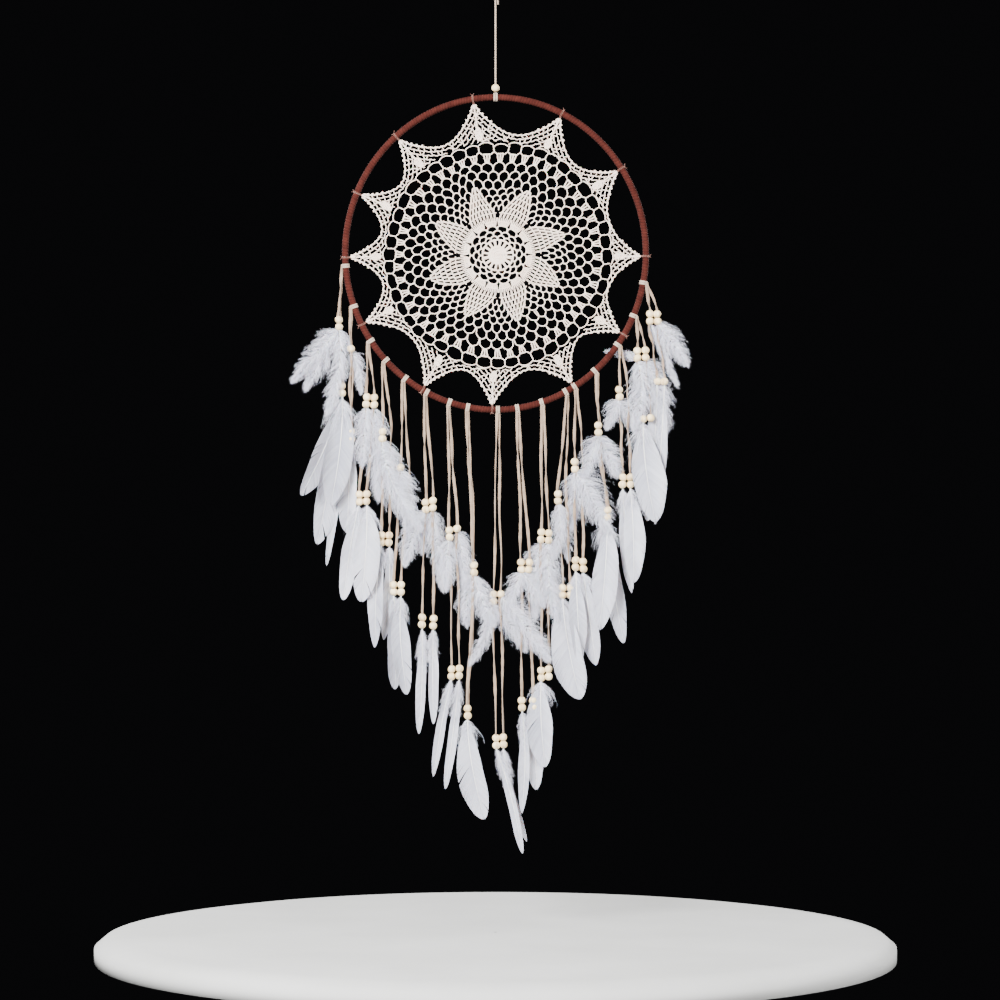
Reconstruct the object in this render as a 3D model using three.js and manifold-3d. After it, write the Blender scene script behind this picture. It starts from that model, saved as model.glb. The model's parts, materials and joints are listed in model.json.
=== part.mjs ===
// A hanging dream catcher: a lace-wound hoop with a crocheted doily tied into it, and seventeen
// doubled suede laces that carry wooden beads, downy plumes and quill feathers.
// Millimetres, +Z up, +X to the right of a person who looks along +Y. The origin is the top of the
// hanging loop.
import * as THREE from "three";
import { mergeVertices } from "three/addons/utils/BufferGeometryUtils.js";
import Module from "manifold-3d";

const wasm = await Module();
wasm.setup();

// Hoop
const HOOP_HALF_WIDTH = 188.4;
const HOOP_HALF_HEIGHT = 195.8;
const HOOP_CENTRE_Z = -339.7;
const CORE_RADIUS = 2.2;
const WRAP_INNER_RADIUS = 3.0;
const WRAP_RADIUS = 3.95;
const HOOP_STEPS = 64;
const WRAP_GAP_DEG = 1;

// Crocheted doily
const WEB_CENTRE_X = 2.9;
const WEB_CENTRE_Z = -341.7;
const WEB_THICKNESS = 1.4;
const WEB_VALLEY = 0.8;
const WEB_TIP_HALF_WIDTH = 1.2;
const TIP_ANGLES_DEG = [35, 65.6, 99.1, 130.6, 156.2, 180.8, 207, 240.7, 267.8, 299.9, 327.6, 359.5];
const SCALLOP_STATIONS = [0.12, 0.3, 0.5, 0.7, 0.88];
const MESH_RINGS = [
  { radius: 14, holes: 10, size: 2, sides: 4 },
  { radius: 26, holes: 12, size: 4.5, sides: 4 },
  { radius: 66, holes: 8, size: 6, sides: 4 },
  { radius: 82, holes: 16, size: 6.5, sides: 4 },
  { radius: 98, holes: 20, size: 7, sides: 4 },
  { radius: 113, holes: 24, size: 7.5, sides: 4 },
  { radius: 135, holes: 24, size: 8, sides: 6 },
];

// Loops that go round the hoop
const LOOP_CLEARANCE = 0.75;
const TIE_THREAD_RADIUS = 0.6;
const KNOT_LACE_RADIUS = 1.0;
const KNOT_STRETCH = 3.2;
const KNOT_BLOCK = { width: 7, depth: 4, height: 6 };

// Hanging cord
const CORD_RADIUS = 1.25;
const CORD_BOTTOM_Z = -136.6;
const EYE_RADIUS = 5;
const EYE_STRETCH = 1.5;
const EYE_KNOT_RADIUS = 2.8;
const HANGING_BEAD_Z = -132.2;

// Beads
const BEAD_RADIUS = 4.85;
const BEAD_PITCH = 9.1;
const BORE_RADIUS = 2.2;
const BEAD_SHOULDER = 0.36;
const COLUMN_PITCH = 9.5;
const BEAD_SIDES = 6;

// Laces and feathers
const LACE_WIDTH = 3.2;
const LACE_THICKNESS = 1.2;
const QUILL_THICKNESS = 2.2;
const PLUME_THICKNESS = 2.3;
const QUILL_LAYER_Y = 1.3;
const QUILL_FLARE = 4;
const PLUME_LAYER_Y = 3.5;
const PLUME_FLARE = 12;
const QUILL_RISE = 0.8;
const PLUME_RISE = 4;

// Each strand hangs from the hoop at angle `at`. A bead group has its centre at x, z and its number of
// beads in each column; the plumes and quills below it reach to x, z and have a width. Strands are
// listed from the left to the right.
const STRANDS = [
  { at: 184.6,
    upper: { x: -196, z: -427, beads: [2] }, plumes: [[-252, -500, 20], [-212, -538, 16]],
    lower: { x: -192, z: -511, beads: [2] }, quills: [[-243, -640, 16], [-222, -702, 26], [-208, -731, 10]] },
  { at: 199.8,
    upper: { x: -181, z: -458, beads: [1] }, plumes: [[-173, -512, 10]],
    lower: { x: -181, z: -566, beads: [2] }, quills: [[-182, -660, 9]] },
  { at: 214,
    upper: { x: -157, z: -525, beads: [2, 2] }, plumes: [[-167, -600, 12], [-156, -640, 11]],
    lower: { x: -166, z: -645, beads: [2, 2] }, quills: [[-176, -770, 16], [-164, -775, 14]] },
  { at: 223.2,
    upper: { x: -137, z: -566, beads: [2, 0] }, plumes: [[-128, -665, 10]],
    lower: { x: -138, z: -697, beads: [2, 2] }, quills: [[-152, -833, 14], [-143, -824, 8]] },
  { at: 233.1,
    upper: { x: -114, z: -609, beads: [1, 0] }, plumes: [[-107, -686, 14]],
    lower: { x: -123, z: -760, beads: [2, 2] }, quills: [[-127, -886, 16], [-112, -892, 14]] },
  { at: 242.8,
    upper: { x: -83, z: -655, beads: [2, 2] }, plumes: [[-95, -725, 12], [-69, -755, 12]],
    lower: { x: -85, z: -801, beads: [2, 2] }, quills: [[-79, -928, 12], [-95, -940, 12]] },
  { at: 252.2,
    upper: { x: -53, z: -690, beads: [2, 1] }, plumes: [[-60, -760, 12], [-45, -760, 10]],
    lower: { x: -50, z: -864, beads: [2, 2] }, quills: [[-76, -995, 9], [-62, -1010, 9]] },
  { at: 259.4,
    upper: { x: -27, z: -735, beads: [2] }, plumes: [[-32, -805, 10], [-14, -790, 10]],
    lower: { x: -35, z: -913, beads: [2] }, quills: [[-18, -1048, 28]] },
  { at: 270.9,
    upper: { x: 2, z: -772, beads: [2, 1] }, plumes: [[-22, -848, 10], [22, -850, 14]],
    lower: { x: 5, z: -951, beads: [2, 2] }, quills: [[28, -1077, 8], [34, -1091, 9]] },
  { at: 278.3,
    upper: { x: 37, z: -731, beads: [2, 2] }, plumes: [[24, -787, 12], [46, -785, 8]],
    lower: { x: 41, z: -904, beads: [2, 2] }, quills: [[34, -1030, 9], [43, -1011, 11]] },
  { at: 287.8,
    upper: { x: 62, z: -694, beads: [2, 2] }, plumes: [[56, -790, 10], [73, -795, 10]],
    lower: { x: 62, z: -866, beads: [2, 2] }, quills: [[73, -982, 16]] },
  { at: 297.7,
    upper: { x: 83, z: -645, beads: [2, 0] }, plumes: [[77, -720, 10], [89, -722, 8]],
    lower: { x: 89, z: -762, beads: [2, 2] }, quills: [[96, -898, 22]] },
  { at: 301.6,
    upper: { x: 104, z: -605, beads: [2, 0] }, plumes: [[100, -685, 8], [122, -680, 16]],
    lower: { x: 105, z: -729, beads: [2, 2] }, quills: [[113, -850, 12], [119, -842, 12]] },
  { at: 311.2,
    upper: { x: 129, z: -560, beads: [2] }, plumes: [[119, -616, 10], [146, -616, 12]],
    lower: { x: 140, z: -665, beads: [2] }, quills: [[138, -809, 20], [156, -825, 12]] },
  { at: 324.2,
    upper: { x: 160, z: -514, beads: [2, 0] }, plumes: [[143, -558, 12], [170, -562, 8]],
    lower: { x: 164, z: -625, beads: [2, 2] }, quills: [[169, -765, 12], [174, -752, 14]] },
  { at: 336.5,
    upper: { x: 183, z: -466, beads: [2, 2] }, plumes: [[187, -530, 16]],
    lower: { x: 190, z: -546, beads: [1, 1] }, quills: [[194, -675, 22]] },
  { at: 349.2,
    upper: { x: 198, z: -420, beads: [2, 2] }, plumes: [[238, -480, 20], [224, -504, 12]],
    lower: { x: 207, z: -500, beads: [1, 1] }, quills: [[215, -640, 14]] },
];

const MATERIALS = {
  core: { color: 0x8f9296, roughness: 0.45, metalness: 1 },
  wrap: { color: 0x82402f, roughness: 0.85, metalness: 0 },
  cotton: { color: 0xebdccf, roughness: 0.9, metalness: 0 },
  lace: { color: 0xd7c3aa, roughness: 0.9, metalness: 0 },
  wood: { color: 0xe6cfa6, roughness: 0.6, metalness: 0 },
  feather: { color: 0xe9e9ef, roughness: 0.75, metalness: 0 },
};

const radians = THREE.MathUtils.degToRad;

// The hoop's centreline at an angle counted anticlockwise from +X.
function hoopPoint(angle) {
  const x = HOOP_HALF_WIDTH * Math.cos(angle);
  const z = HOOP_CENTRE_Z + HOOP_HALF_HEIGHT * Math.sin(angle);
  return new THREE.Vector3(x, 0, z);
}

function hoopNormal(angle) {
  const x = Math.cos(angle) / HOOP_HALF_WIDTH;
  const z = Math.sin(angle) / HOOP_HALF_HEIGHT;
  return new THREE.Vector3(x, 0, z).normalize();
}

class HoopArc extends THREE.Curve {
  constructor(gap) {
    super();
    this.gap = gap;
  }

  getPoint(t) {
    return hoopPoint(Math.PI / 2 + this.gap + (2 * Math.PI - 2 * this.gap) * t);
  }
}

// Straight stretches between points, with one step of a sweep on each stretch.
class Route extends THREE.Curve {
  constructor(points) {
    super();
    this.points = points;
  }

  getPoint(t) {
    const last = this.points.length - 1;
    const i = Math.min(Math.floor(t * last), last - 1);
    return this.points[i].clone().lerp(this.points[i + 1], t * last - i);
  }

  getUtoTmapping(u) {
    return u;
  }
}

// Solids

function solid(geometry) {
  const closed = geometry.clone();
  closed.deleteAttribute("normal");
  closed.deleteAttribute("uv");
  const merged = mergeVertices(closed, 1e-4);
  const mesh = new wasm.Mesh({
    numProp: 3,
    vertProperties: new Float32Array(merged.attributes.position.array),
    triVerts: new Uint32Array(merged.index.array),
  });
  return new wasm.Manifold(mesh);
}

function join(geometries) {
  const whole = geometries.map(solid).reduce((a, b) => a.add(b));
  const mesh = whole.getMesh();
  const geometry = new THREE.BufferGeometry();
  geometry.setAttribute("position", new THREE.BufferAttribute(mesh.vertProperties, 3));
  geometry.setIndex(new THREE.BufferAttribute(mesh.triVerts, 1));
  geometry.computeVertexNormals();
  return geometry;
}

function named(name, geometry, material) {
  const mesh = new THREE.Mesh(geometry, new THREE.MeshStandardMaterial(MATERIALS[material]));
  mesh.name = name;
  return mesh;
}

function regularPolygon(path, x, y, radius, sides, turn) {
  for (let i = 0; i < sides; i++) {
    const angle = turn + (2 * Math.PI * i) / sides;
    const point = [x + radius * Math.cos(angle), y + radius * Math.sin(angle)];
    if (i === 0) path.moveTo(...point);
    else path.lineTo(...point);
  }
  path.closePath();
  return path;
}

// Hoop

function hoopCore() {
  const mean = (HOOP_HALF_WIDTH + HOOP_HALF_HEIGHT) / 2;
  const ring = new THREE.TorusGeometry(mean, CORE_RADIUS, 6, HOOP_STEPS);
  ring.rotateX(Math.PI / 2);
  ring.scale(HOOP_HALF_WIDTH / mean, 1, HOOP_HALF_HEIGHT / mean);
  ring.translate(0, 0, HOOP_CENTRE_Z);
  return ring;
}

// The wound lace is a pipe round the core; its two ends meet under the hanging knot.
function hoopWrap() {
  const section = regularPolygon(new THREE.Shape(), 0, 0, WRAP_RADIUS, 8, 0);
  section.holes.push(regularPolygon(new THREE.Path(), 0, 0, WRAP_INNER_RADIUS, 8, 0));
  const extrudePath = new HoopArc(radians(WRAP_GAP_DEG));
  return new THREE.ExtrudeGeometry(section, { steps: HOOP_STEPS, extrudePath });
}

// A loop round the hoop's tube, its axis along the tube.
function loopRoundHoop(angle, threadRadius, sides, stretch) {
  const radius = WRAP_RADIUS + LOOP_CLEARANCE + threadRadius;
  const loop = new THREE.TorusGeometry(radius, threadRadius, 4, sides);
  loop.scale(1, 1, stretch);
  const normal = hoopNormal(angle);
  const along = new THREE.Vector3(-normal.z, 0, normal.x);
  const across = new THREE.Vector3().crossVectors(along, normal);
  loop.applyMatrix4(new THREE.Matrix4().makeBasis(normal, across, along));
  const centre = hoopPoint(angle);
  return loop.translate(centre.x, centre.y, centre.z);
}

// Doily

// A tip ends inside the thread of its tie loop.
function tipPoint(angleDeg) {
  const angle = radians(angleDeg);
  const inset = WRAP_RADIUS + LOOP_CLEARANCE + TIE_THREAD_RADIUS;
  const tip = hoopPoint(angle).addScaledVector(hoopNormal(angle), -inset);
  return new THREE.Vector2(tip.x - WEB_CENTRE_X, tip.z - WEB_CENTRE_Z);
}

function doilyOutline() {
  const shape = new THREE.Shape();
  const tips = TIP_ANGLES_DEG.map(tipPoint);
  tips.forEach((tip, i) => {
    const next = tips[(i + 1) % tips.length];
    const sideways = new THREE.Vector2(-tip.y, tip.x).setLength(WEB_TIP_HALF_WIDTH);
    if (i === 0) shape.moveTo(tip.x - sideways.x, tip.y - sideways.y);
    else shape.lineTo(tip.x - sideways.x, tip.y - sideways.y);
    shape.lineTo(tip.x + sideways.x, tip.y + sideways.y);
    const turn = (next.angle() - tip.angle() + 2 * Math.PI) % (2 * Math.PI);
    for (const share of SCALLOP_STATIONS) {
      const sag = (1 - WEB_VALLEY) * Math.sin(Math.PI * share) ** 0.6;
      const radius = THREE.MathUtils.lerp(tip.length(), next.length(), share) * (1 - sag);
      const angle = tip.angle() + turn * share;
      shape.lineTo(radius * Math.cos(angle), radius * Math.sin(angle));
    }
  });
  shape.closePath();
  return shape;
}

function crochetWeb() {
  const shape = doilyOutline();
  MESH_RINGS.forEach((ring, row) => {
    for (let i = 0; i < ring.holes; i++) {
      const angle = (2 * Math.PI * (i + (row % 2) / 2)) / ring.holes;
      const x = ring.radius * Math.cos(angle);
      const y = ring.radius * Math.sin(angle);
      shape.holes.push(regularPolygon(new THREE.Path(), x, y, ring.size, ring.sides, angle));
    }
  });
  const plate = new THREE.ExtrudeGeometry(shape, { depth: WEB_THICKNESS, bevelEnabled: false });
  plate.translate(0, 0, -WEB_THICKNESS / 2);
  plate.rotateX(Math.PI / 2);
  plate.translate(WEB_CENTRE_X, 0, WEB_CENTRE_Z);
  const ties = TIP_ANGLES_DEG.map((tip) => loopRoundHoop(radians(tip), TIE_THREAD_RADIUS, 8, 1));
  return join([plate, ...ties]);
}

// Hanging cord, knot and bead

function hangingCord() {
  const eye = new THREE.TorusGeometry(EYE_RADIUS, CORD_RADIUS, 8, 16);
  eye.rotateX(Math.PI / 2);
  eye.scale(1, 1, EYE_STRETCH);
  const eyeBottom = -2 * EYE_STRETCH * (EYE_RADIUS + CORD_RADIUS);
  eye.translate(0, 0, eyeBottom / 2);
  const knot = new THREE.SphereGeometry(EYE_KNOT_RADIUS, 8, 6);
  knot.translate(0, 0, eyeBottom);
  const length = eyeBottom - CORD_BOTTOM_Z;
  const cord = new THREE.CylinderGeometry(CORD_RADIUS, CORD_RADIUS, length, 8);
  cord.rotateX(Math.PI / 2);
  cord.translate(0, 0, CORD_BOTTOM_Z + length / 2);
  return join([eye, knot, cord]);
}

// The outer side of a column of beads, from the bottom up.
function beadFlanks(count) {
  const profile = [];
  for (let i = 0; i < count; i++) {
    const middle = (i - (count - 1) / 2) * BEAD_PITCH;
    profile.push(new THREE.Vector2(BEAD_RADIUS, middle - BEAD_PITCH * (0.5 - BEAD_SHOULDER)));
    profile.push(new THREE.Vector2(BEAD_RADIUS, middle + BEAD_PITCH * (0.5 - BEAD_SHOULDER)));
    if (i < count - 1) {
      profile.push(new THREE.Vector2(BEAD_RADIUS * 0.55, middle + BEAD_PITCH / 2));
    }
  }
  return profile;
}

// Beads threaded one above the other; the last one of a blind column is closed by the quills in it.
function beadColumn(x, z, count, blind) {
  const end = (BEAD_PITCH * count) / 2;
  const corner = (radius, height) => new THREE.Vector2(radius, height);
  const bottom = blind ? [corner(0, -end)] : [corner(BORE_RADIUS, -end)];
  const bore = blind ? [corner(BORE_RADIUS, 2 - end), corner(0, 2 - end)] : [corner(BORE_RADIUS, -end)];
  const profile = [...bottom, ...beadFlanks(count), corner(BORE_RADIUS, end), ...bore];
  const beads = new THREE.LatheGeometry(profile, BEAD_SIDES, Math.PI / BEAD_SIDES);
  beads.rotateX(Math.PI / 2);
  return beads.translate(x, 0, z);
}

// Strands

function columnX(group, i) {
  return group.x + (i - (group.beads.length - 1) / 2) * COLUMN_PITCH;
}

// A column without beads leaves its lace free, a little further from its neighbour.
function laceX(group, i) {
  return columnX(group, i) + (group.beads[i] === 0 ? 1 : 0);
}

function groupEnd(group) {
  return (BEAD_PITCH * Math.max(...group.beads)) / 2;
}

function knotCentre(angle) {
  const normal = hoopNormal(angle);
  const half = Math.abs(normal.x) * KNOT_BLOCK.width + Math.abs(normal.z) * KNOT_BLOCK.height;
  const reach = WRAP_RADIUS + LOOP_CLEARANCE + KNOT_LACE_RADIUS + half / 2;
  return hoopPoint(angle).addScaledVector(normal, reach);
}

function lace(strand, centre, i, count) {
  const start = centre.x + (i - (count - 1) / 2) * (LACE_WIDTH + 0.4);
  const upperX = laceX(strand.upper, i);
  const lowerX = laceX(strand.lower, i);
  const above = groupEnd(strand.upper) + 3;
  const over = groupEnd(strand.lower);
  const route = new Route([
    new THREE.Vector3(start, 0, centre.z),
    new THREE.Vector3(start, 0, centre.z - KNOT_BLOCK.height),
    new THREE.Vector3(upperX, 0, strand.upper.z + above),
    new THREE.Vector3(upperX, 0, strand.upper.z - above),
    new THREE.Vector3(lowerX, 0, strand.lower.z + over + 3),
    new THREE.Vector3(lowerX, 0, strand.lower.z - over + 3),
  ]);
  const section = new THREE.Shape();
  section.moveTo(-LACE_THICKNESS / 2, -LACE_WIDTH / 2);
  section.lineTo(LACE_THICKNESS / 2, -LACE_WIDTH / 2);
  section.lineTo(LACE_THICKNESS / 2, LACE_WIDTH / 2);
  section.lineTo(-LACE_THICKNESS / 2, LACE_WIDTH / 2);
  section.closePath();
  return new THREE.ExtrudeGeometry(section, { steps: route.points.length - 1, extrudePath: route });
}

function strandCord(strand) {
  const angle = radians(strand.at);
  const band = loopRoundHoop(angle, KNOT_LACE_RADIUS, 10, KNOT_STRETCH);
  const centre = knotCentre(angle);
  const block = new THREE.BoxGeometry(KNOT_BLOCK.width, KNOT_BLOCK.depth, KNOT_BLOCK.height);
  block.translate(centre.x, 0, centre.z);
  const count = strand.lower.beads.length;
  const laces = strand.lower.beads.map((_, i) => lace(strand, centre, i, count));
  return join([band, block, ...laces]);
}

// A flat feather from its base to its tip; stations give the half width along it.
function feather(base, tip, width, thickness, stations) {
  const along = tip.clone().sub(base);
  const length = along.length();
  const shape = new THREE.Shape();
  const right = stations.map(([share, half]) => [half * width, share * length]);
  const left = right.map(([x, s]) => [-x, s]).reverse();
  const outline = [...right, ...left.filter(([x]) => x !== 0)];
  outline.forEach(([x, s], i) => (i === 0 ? shape.moveTo(x, s) : shape.lineTo(x, s)));
  shape.closePath();
  const plate = new THREE.ExtrudeGeometry(shape, { depth: thickness, bevelEnabled: false });
  plate.translate(0, 0, -thickness / 2);
  along.normalize();
  const across = new THREE.Vector3().crossVectors(along, new THREE.Vector3(0, 1, 0)).normalize();
  const facing = new THREE.Vector3().crossVectors(across, along);
  plate.applyMatrix4(new THREE.Matrix4().makeBasis(across, along, facing));
  return plate.translate(base.x, base.y, base.z);
}

// Feathers lie in front of their laces and behind them by turns, and flare a little to that side.
function plume([baseX, baseZ], [tipX, tipZ], width, side) {
  const stations = [[0, 1.5 / width], [0.25, 0.45], [0.7, 0.5], [1, 0.1]];
  const base = new THREE.Vector3(baseX, side * PLUME_LAYER_Y, baseZ);
  const tip = new THREE.Vector3(tipX, side * PLUME_FLARE, tipZ);
  return feather(base, tip, width, PLUME_THICKNESS, stations);
}

function quill([baseX, baseZ], [tipX, tipZ], width, side) {
  const stations = [[0, 1 / width], [0.14, 1.2 / width], [0.34, 0.42], [0.78, 0.5], [1, 0]];
  const base = new THREE.Vector3(baseX, side * QUILL_LAYER_Y, baseZ);
  const tip = new THREE.Vector3(tipX, side * QUILL_FLARE, tipZ);
  return feather(base, tip, width, QUILL_THICKNESS, stations);
}

// The columns of a group that hold beads, all level at the top.
function filledColumns(group) {
  const top = group.z + groupEnd(group);
  const columns = group.beads.map((count, i) => {
    return { count, x: columnX(group, i), bottom: top - BEAD_PITCH * count };
  });
  return columns.filter(({ count }) => count > 0);
}

function feathers(group, tips, make, rise) {
  const columns = filledColumns(group);
  return tips.map(([x, z, width], i) => {
    const column = columns[Math.min(i, columns.length - 1)];
    return make([column.x, column.bottom + rise], [x, z], width, i % 2 === 0 ? -1 : 1);
  });
}

function beads(group, blind) {
  return filledColumns(group).map(({ count, x, bottom }) => {
    return beadColumn(x, bottom + (BEAD_PITCH * count) / 2, count, blind);
  });
}

function upperTassel(strand) {
  return join([...beads(strand.upper, false), ...feathers(strand.upper, strand.plumes, plume, PLUME_RISE)]);
}

function lowerTassel(strand) {
  return join([...beads(strand.lower, true), ...feathers(strand.lower, strand.quills, quill, QUILL_RISE)]);
}

function strandGroup(strand, index) {
  const prefix = `strand_${String(index + 1).padStart(2, "0")}`;
  const group = new THREE.Group();
  group.add(named(`${prefix}_lace`, strandCord(strand), "lace"));
  group.add(named(`${prefix}_upper_tassel`, upperTassel(strand), "feather"));
  group.add(named(`${prefix}_lower_tassel`, lowerTassel(strand), "feather"));
  return group;
}

const dreamCatcher = new THREE.Group();
dreamCatcher.add(named("hoop_core", hoopCore(), "core"));
dreamCatcher.add(named("hoop_wrap", hoopWrap(), "wrap"));
dreamCatcher.add(named("crochet_web", crochetWeb(), "cotton"));
dreamCatcher.add(named("hanging_cord", hangingCord(), "lace"));
const hangingKnot = loopRoundHoop(Math.PI / 2, KNOT_LACE_RADIUS, 10, KNOT_STRETCH);
dreamCatcher.add(named("hanging_knot", hangingKnot, "lace"));
dreamCatcher.add(named("hanging_bead", beadColumn(0, HANGING_BEAD_Z, 1, false), "wood"));
STRANDS.forEach((strand, i) => dreamCatcher.add(strandGroup(strand, i)));

export default dreamCatcher;
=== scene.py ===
# A hanging dream catcher: a hoop wound with suede lace, a crocheted cotton doily tied into it, and
# doubled suede laces with wooden beads, marabou plumes and goose quill feathers.
import json
import math

import bpy
import numpy as np
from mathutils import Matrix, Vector


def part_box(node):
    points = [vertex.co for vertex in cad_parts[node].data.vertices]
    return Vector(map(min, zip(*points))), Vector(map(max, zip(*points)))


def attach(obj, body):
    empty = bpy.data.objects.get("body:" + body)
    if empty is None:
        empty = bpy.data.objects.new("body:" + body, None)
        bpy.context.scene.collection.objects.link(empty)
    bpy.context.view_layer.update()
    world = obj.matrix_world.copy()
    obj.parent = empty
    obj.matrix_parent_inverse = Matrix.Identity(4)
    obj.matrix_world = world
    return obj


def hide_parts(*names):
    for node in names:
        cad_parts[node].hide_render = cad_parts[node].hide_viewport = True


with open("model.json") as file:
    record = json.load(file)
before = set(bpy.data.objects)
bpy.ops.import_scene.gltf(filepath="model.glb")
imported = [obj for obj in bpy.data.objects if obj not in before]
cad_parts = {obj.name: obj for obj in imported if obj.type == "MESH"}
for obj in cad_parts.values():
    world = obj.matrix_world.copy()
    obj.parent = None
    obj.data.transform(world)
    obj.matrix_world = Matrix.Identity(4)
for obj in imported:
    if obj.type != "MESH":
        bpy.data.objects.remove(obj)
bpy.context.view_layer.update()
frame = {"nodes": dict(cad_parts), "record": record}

MM = 0.001
FRONT = np.array([0, -1.0, 0])
BACK = np.array([0, 1.0, 0])

# ---------------------------------------------------------------- camera, floor and light

VIEW_WIDTH = 1.253
VIEW_CENTRE = (0.0056, -0.6485)
CAMERA_DISTANCE = 4.5
FLOOR_Z = -1.19


def make_camera():
    camera = bpy.data.cameras.new("camera")
    camera.sensor_width = 36
    camera.lens = CAMERA_DISTANCE * camera.sensor_width / VIEW_WIDTH
    camera.clip_end = 50
    holder = bpy.data.objects.new("camera", camera)
    holder.location = (VIEW_CENTRE[0], -CAMERA_DISTANCE, VIEW_CENTRE[1])
    holder.rotation_euler = (math.pi / 2, 0, 0)
    bpy.context.scene.collection.objects.link(holder)
    bpy.context.scene.camera = holder


def area_light(name, place, target, size, power):
    light = bpy.data.lights.new(name, "AREA")
    light.shape = "DISK"
    light.size = size
    light.energy = power
    holder = bpy.data.objects.new(name, light)
    holder.location = place
    direction = Vector(target) - Vector(place)
    holder.rotation_euler = direction.to_track_quat("-Z", "Y").to_euler()
    bpy.context.scene.collection.objects.link(holder)


def make_lights():
    middle = (0, 0, -0.55)
    area_light("key", (-1.6, -2.6, 0.7), middle, 1.4, 560)
    area_light("fill", (2.2, -2.2, -0.4), middle, 2.0, 180)
    area_light("rim_left", (-1.8, 1.6, 0.5), middle, 1.0, 90)
    area_light("rim_right", (1.8, 1.8, 0.2), middle, 1.0, 90)
    world = bpy.data.worlds.new("studio")
    world.use_nodes = True
    background = world.node_tree.nodes["Background"]
    background.inputs["Color"].default_value = (0.0035, 0.0035, 0.004, 1)
    background.inputs["Strength"].default_value = 1.0
    bpy.context.scene.world = world


# ---------------------------------------------------------------- mesh building


class Builder:
    """Collects strips of faces, with the lay (along, around) and tone of each vertex."""

    def __init__(self):
        self.points = []
        self.faces = []
        self.lay = []
        self.tone = []
        self.count = 0

    def add(self, points, faces, lay=None, tone=0.5):
        points = np.asarray(points, float).reshape(-1, 3)
        if lay is None:
            lay = np.zeros((len(points), 2))
        self.points.append(points)
        self.faces.append(np.asarray(faces, int) + self.count)
        self.lay.append(np.asarray(lay, float).reshape(-1, 2))
        self.tone.append(np.broadcast_to(np.asarray(tone, float), (len(points),)))
        self.count += len(points)

    def grid(self, rings, caps=True, lay=None, tone=0.5):
        """Faces between rings[i] and rings[i + 1], each a closed loop; caps close the first and the last."""
        rings = np.asarray(rings, float)
        n, m = rings.shape[:2]
        index = np.arange(n * m).reshape(n, m)
        beside = np.roll(index, -1, axis=1)
        faces = np.stack([index[:-1], beside[:-1], beside[1:], index[1:]], -1).reshape(-1, 4)
        if caps:
            faces = np.vstack([faces, cap_faces(index[0][::-1]), cap_faces(index[-1])])
        self.add(rings.reshape(-1, 3), faces, lay, tone)

    def object(self, name, material, body, smooth=True):
        points = np.vstack(self.points)
        faces = np.vstack(self.faces)
        mesh = bpy.data.meshes.new(name)
        mesh.vertices.add(len(points))
        mesh.vertices.foreach_set("co", points.ravel())
        triangles = faces[:, 2] == faces[:, 3]
        sizes = np.where(triangles, 3, 4)
        keep = np.ones(faces.shape, bool)
        keep[triangles, 3] = False
        mesh.loops.add(int(sizes.sum()))
        mesh.loops.foreach_set("vertex_index", faces[keep].ravel().astype(np.int32))
        mesh.polygons.add(len(faces))
        starts = np.concatenate([[0], np.cumsum(sizes)[:-1]]).astype(np.int32)
        mesh.polygons.foreach_set("loop_start", starts)
        mesh.update(calc_edges=True)
        mesh.polygons.foreach_set("use_smooth", np.full(len(faces), smooth))
        lay = mesh.attributes.new("lay", "FLOAT_VECTOR", "POINT")
        lay_values = np.hstack([np.vstack(self.lay), np.zeros((len(points), 1))])
        lay.data.foreach_set("vector", lay_values.ravel())
        tone = mesh.attributes.new("tone", "FLOAT", "POINT")
        tone.data.foreach_set("value", np.concatenate(self.tone))
        mesh.validate()
        mesh.materials.append(material)
        piece = bpy.data.objects.new(name, mesh)
        bpy.context.scene.collection.objects.link(piece)
        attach(piece, body)
        return piece


def cap_faces(ring):
    """Quads, and one triangle where the count is odd, that close a ring of vertices."""
    faces = []
    low, high = 0, len(ring) - 1
    while high - low >= 3:
        faces.append([ring[low], ring[low + 1], ring[high - 1], ring[high]])
        low, high = low + 1, high - 1
    if high - low == 2:
        faces.append([ring[low], ring[low + 1], ring[high], ring[high]])
    return np.array(faces, int)


def unit(v):
    v = np.asarray(v, float)
    return v / np.maximum(np.linalg.norm(v, axis=-1, keepdims=True), 1e-12)


def lengths_along(points):
    steps = np.linalg.norm(np.diff(points, axis=0), axis=1)
    return np.concatenate([[0], np.cumsum(steps)])


def resample(points, step=None, count=None):
    points = np.asarray(points, float)
    along = lengths_along(points)
    if count is None:
        count = max(int(math.ceil(along[-1] / step)) + 1, 2)
    at = np.linspace(0, along[-1], count)
    return np.stack([np.interp(at, along, points[:, k]) for k in range(3)], 1)


def smooth_route(points, count):
    """A Catmull-Rom curve through the points, evenly sampled."""
    p = np.asarray(points, float)
    p = np.vstack([2 * p[0] - p[1], p, 2 * p[-1] - p[-2]])
    out = []
    for i in range(1, len(p) - 2):
        t = np.linspace(0, 1, 12, endpoint=False)[:, None]
        a, b, c, d = p[i - 1 : i + 3]
        out.append(
            0.5 * (2 * b + (c - a) * t + (2 * a - 5 * b + 4 * c - d) * t**2 + (3 * b - a - 3 * c + d) * t**3)
        )
    out.append(p[-2][None])
    return resample(np.vstack(out), count=count)


def tangents(points):
    return unit(np.gradient(points, axis=0))


def carried_frames(points, start):
    """Two directions across a line, carried along it without twist."""
    t = tangents(points)
    u = unit(start - t[0] * np.dot(start, t[0]))
    across = [u]
    for k in range(1, len(points)):
        u = u - t[k] * np.dot(u, t[k])
        u = u / max(np.linalg.norm(u), 1e-9)
        across.append(u)
    across = np.array(across)
    return across, np.cross(t, across)


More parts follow.
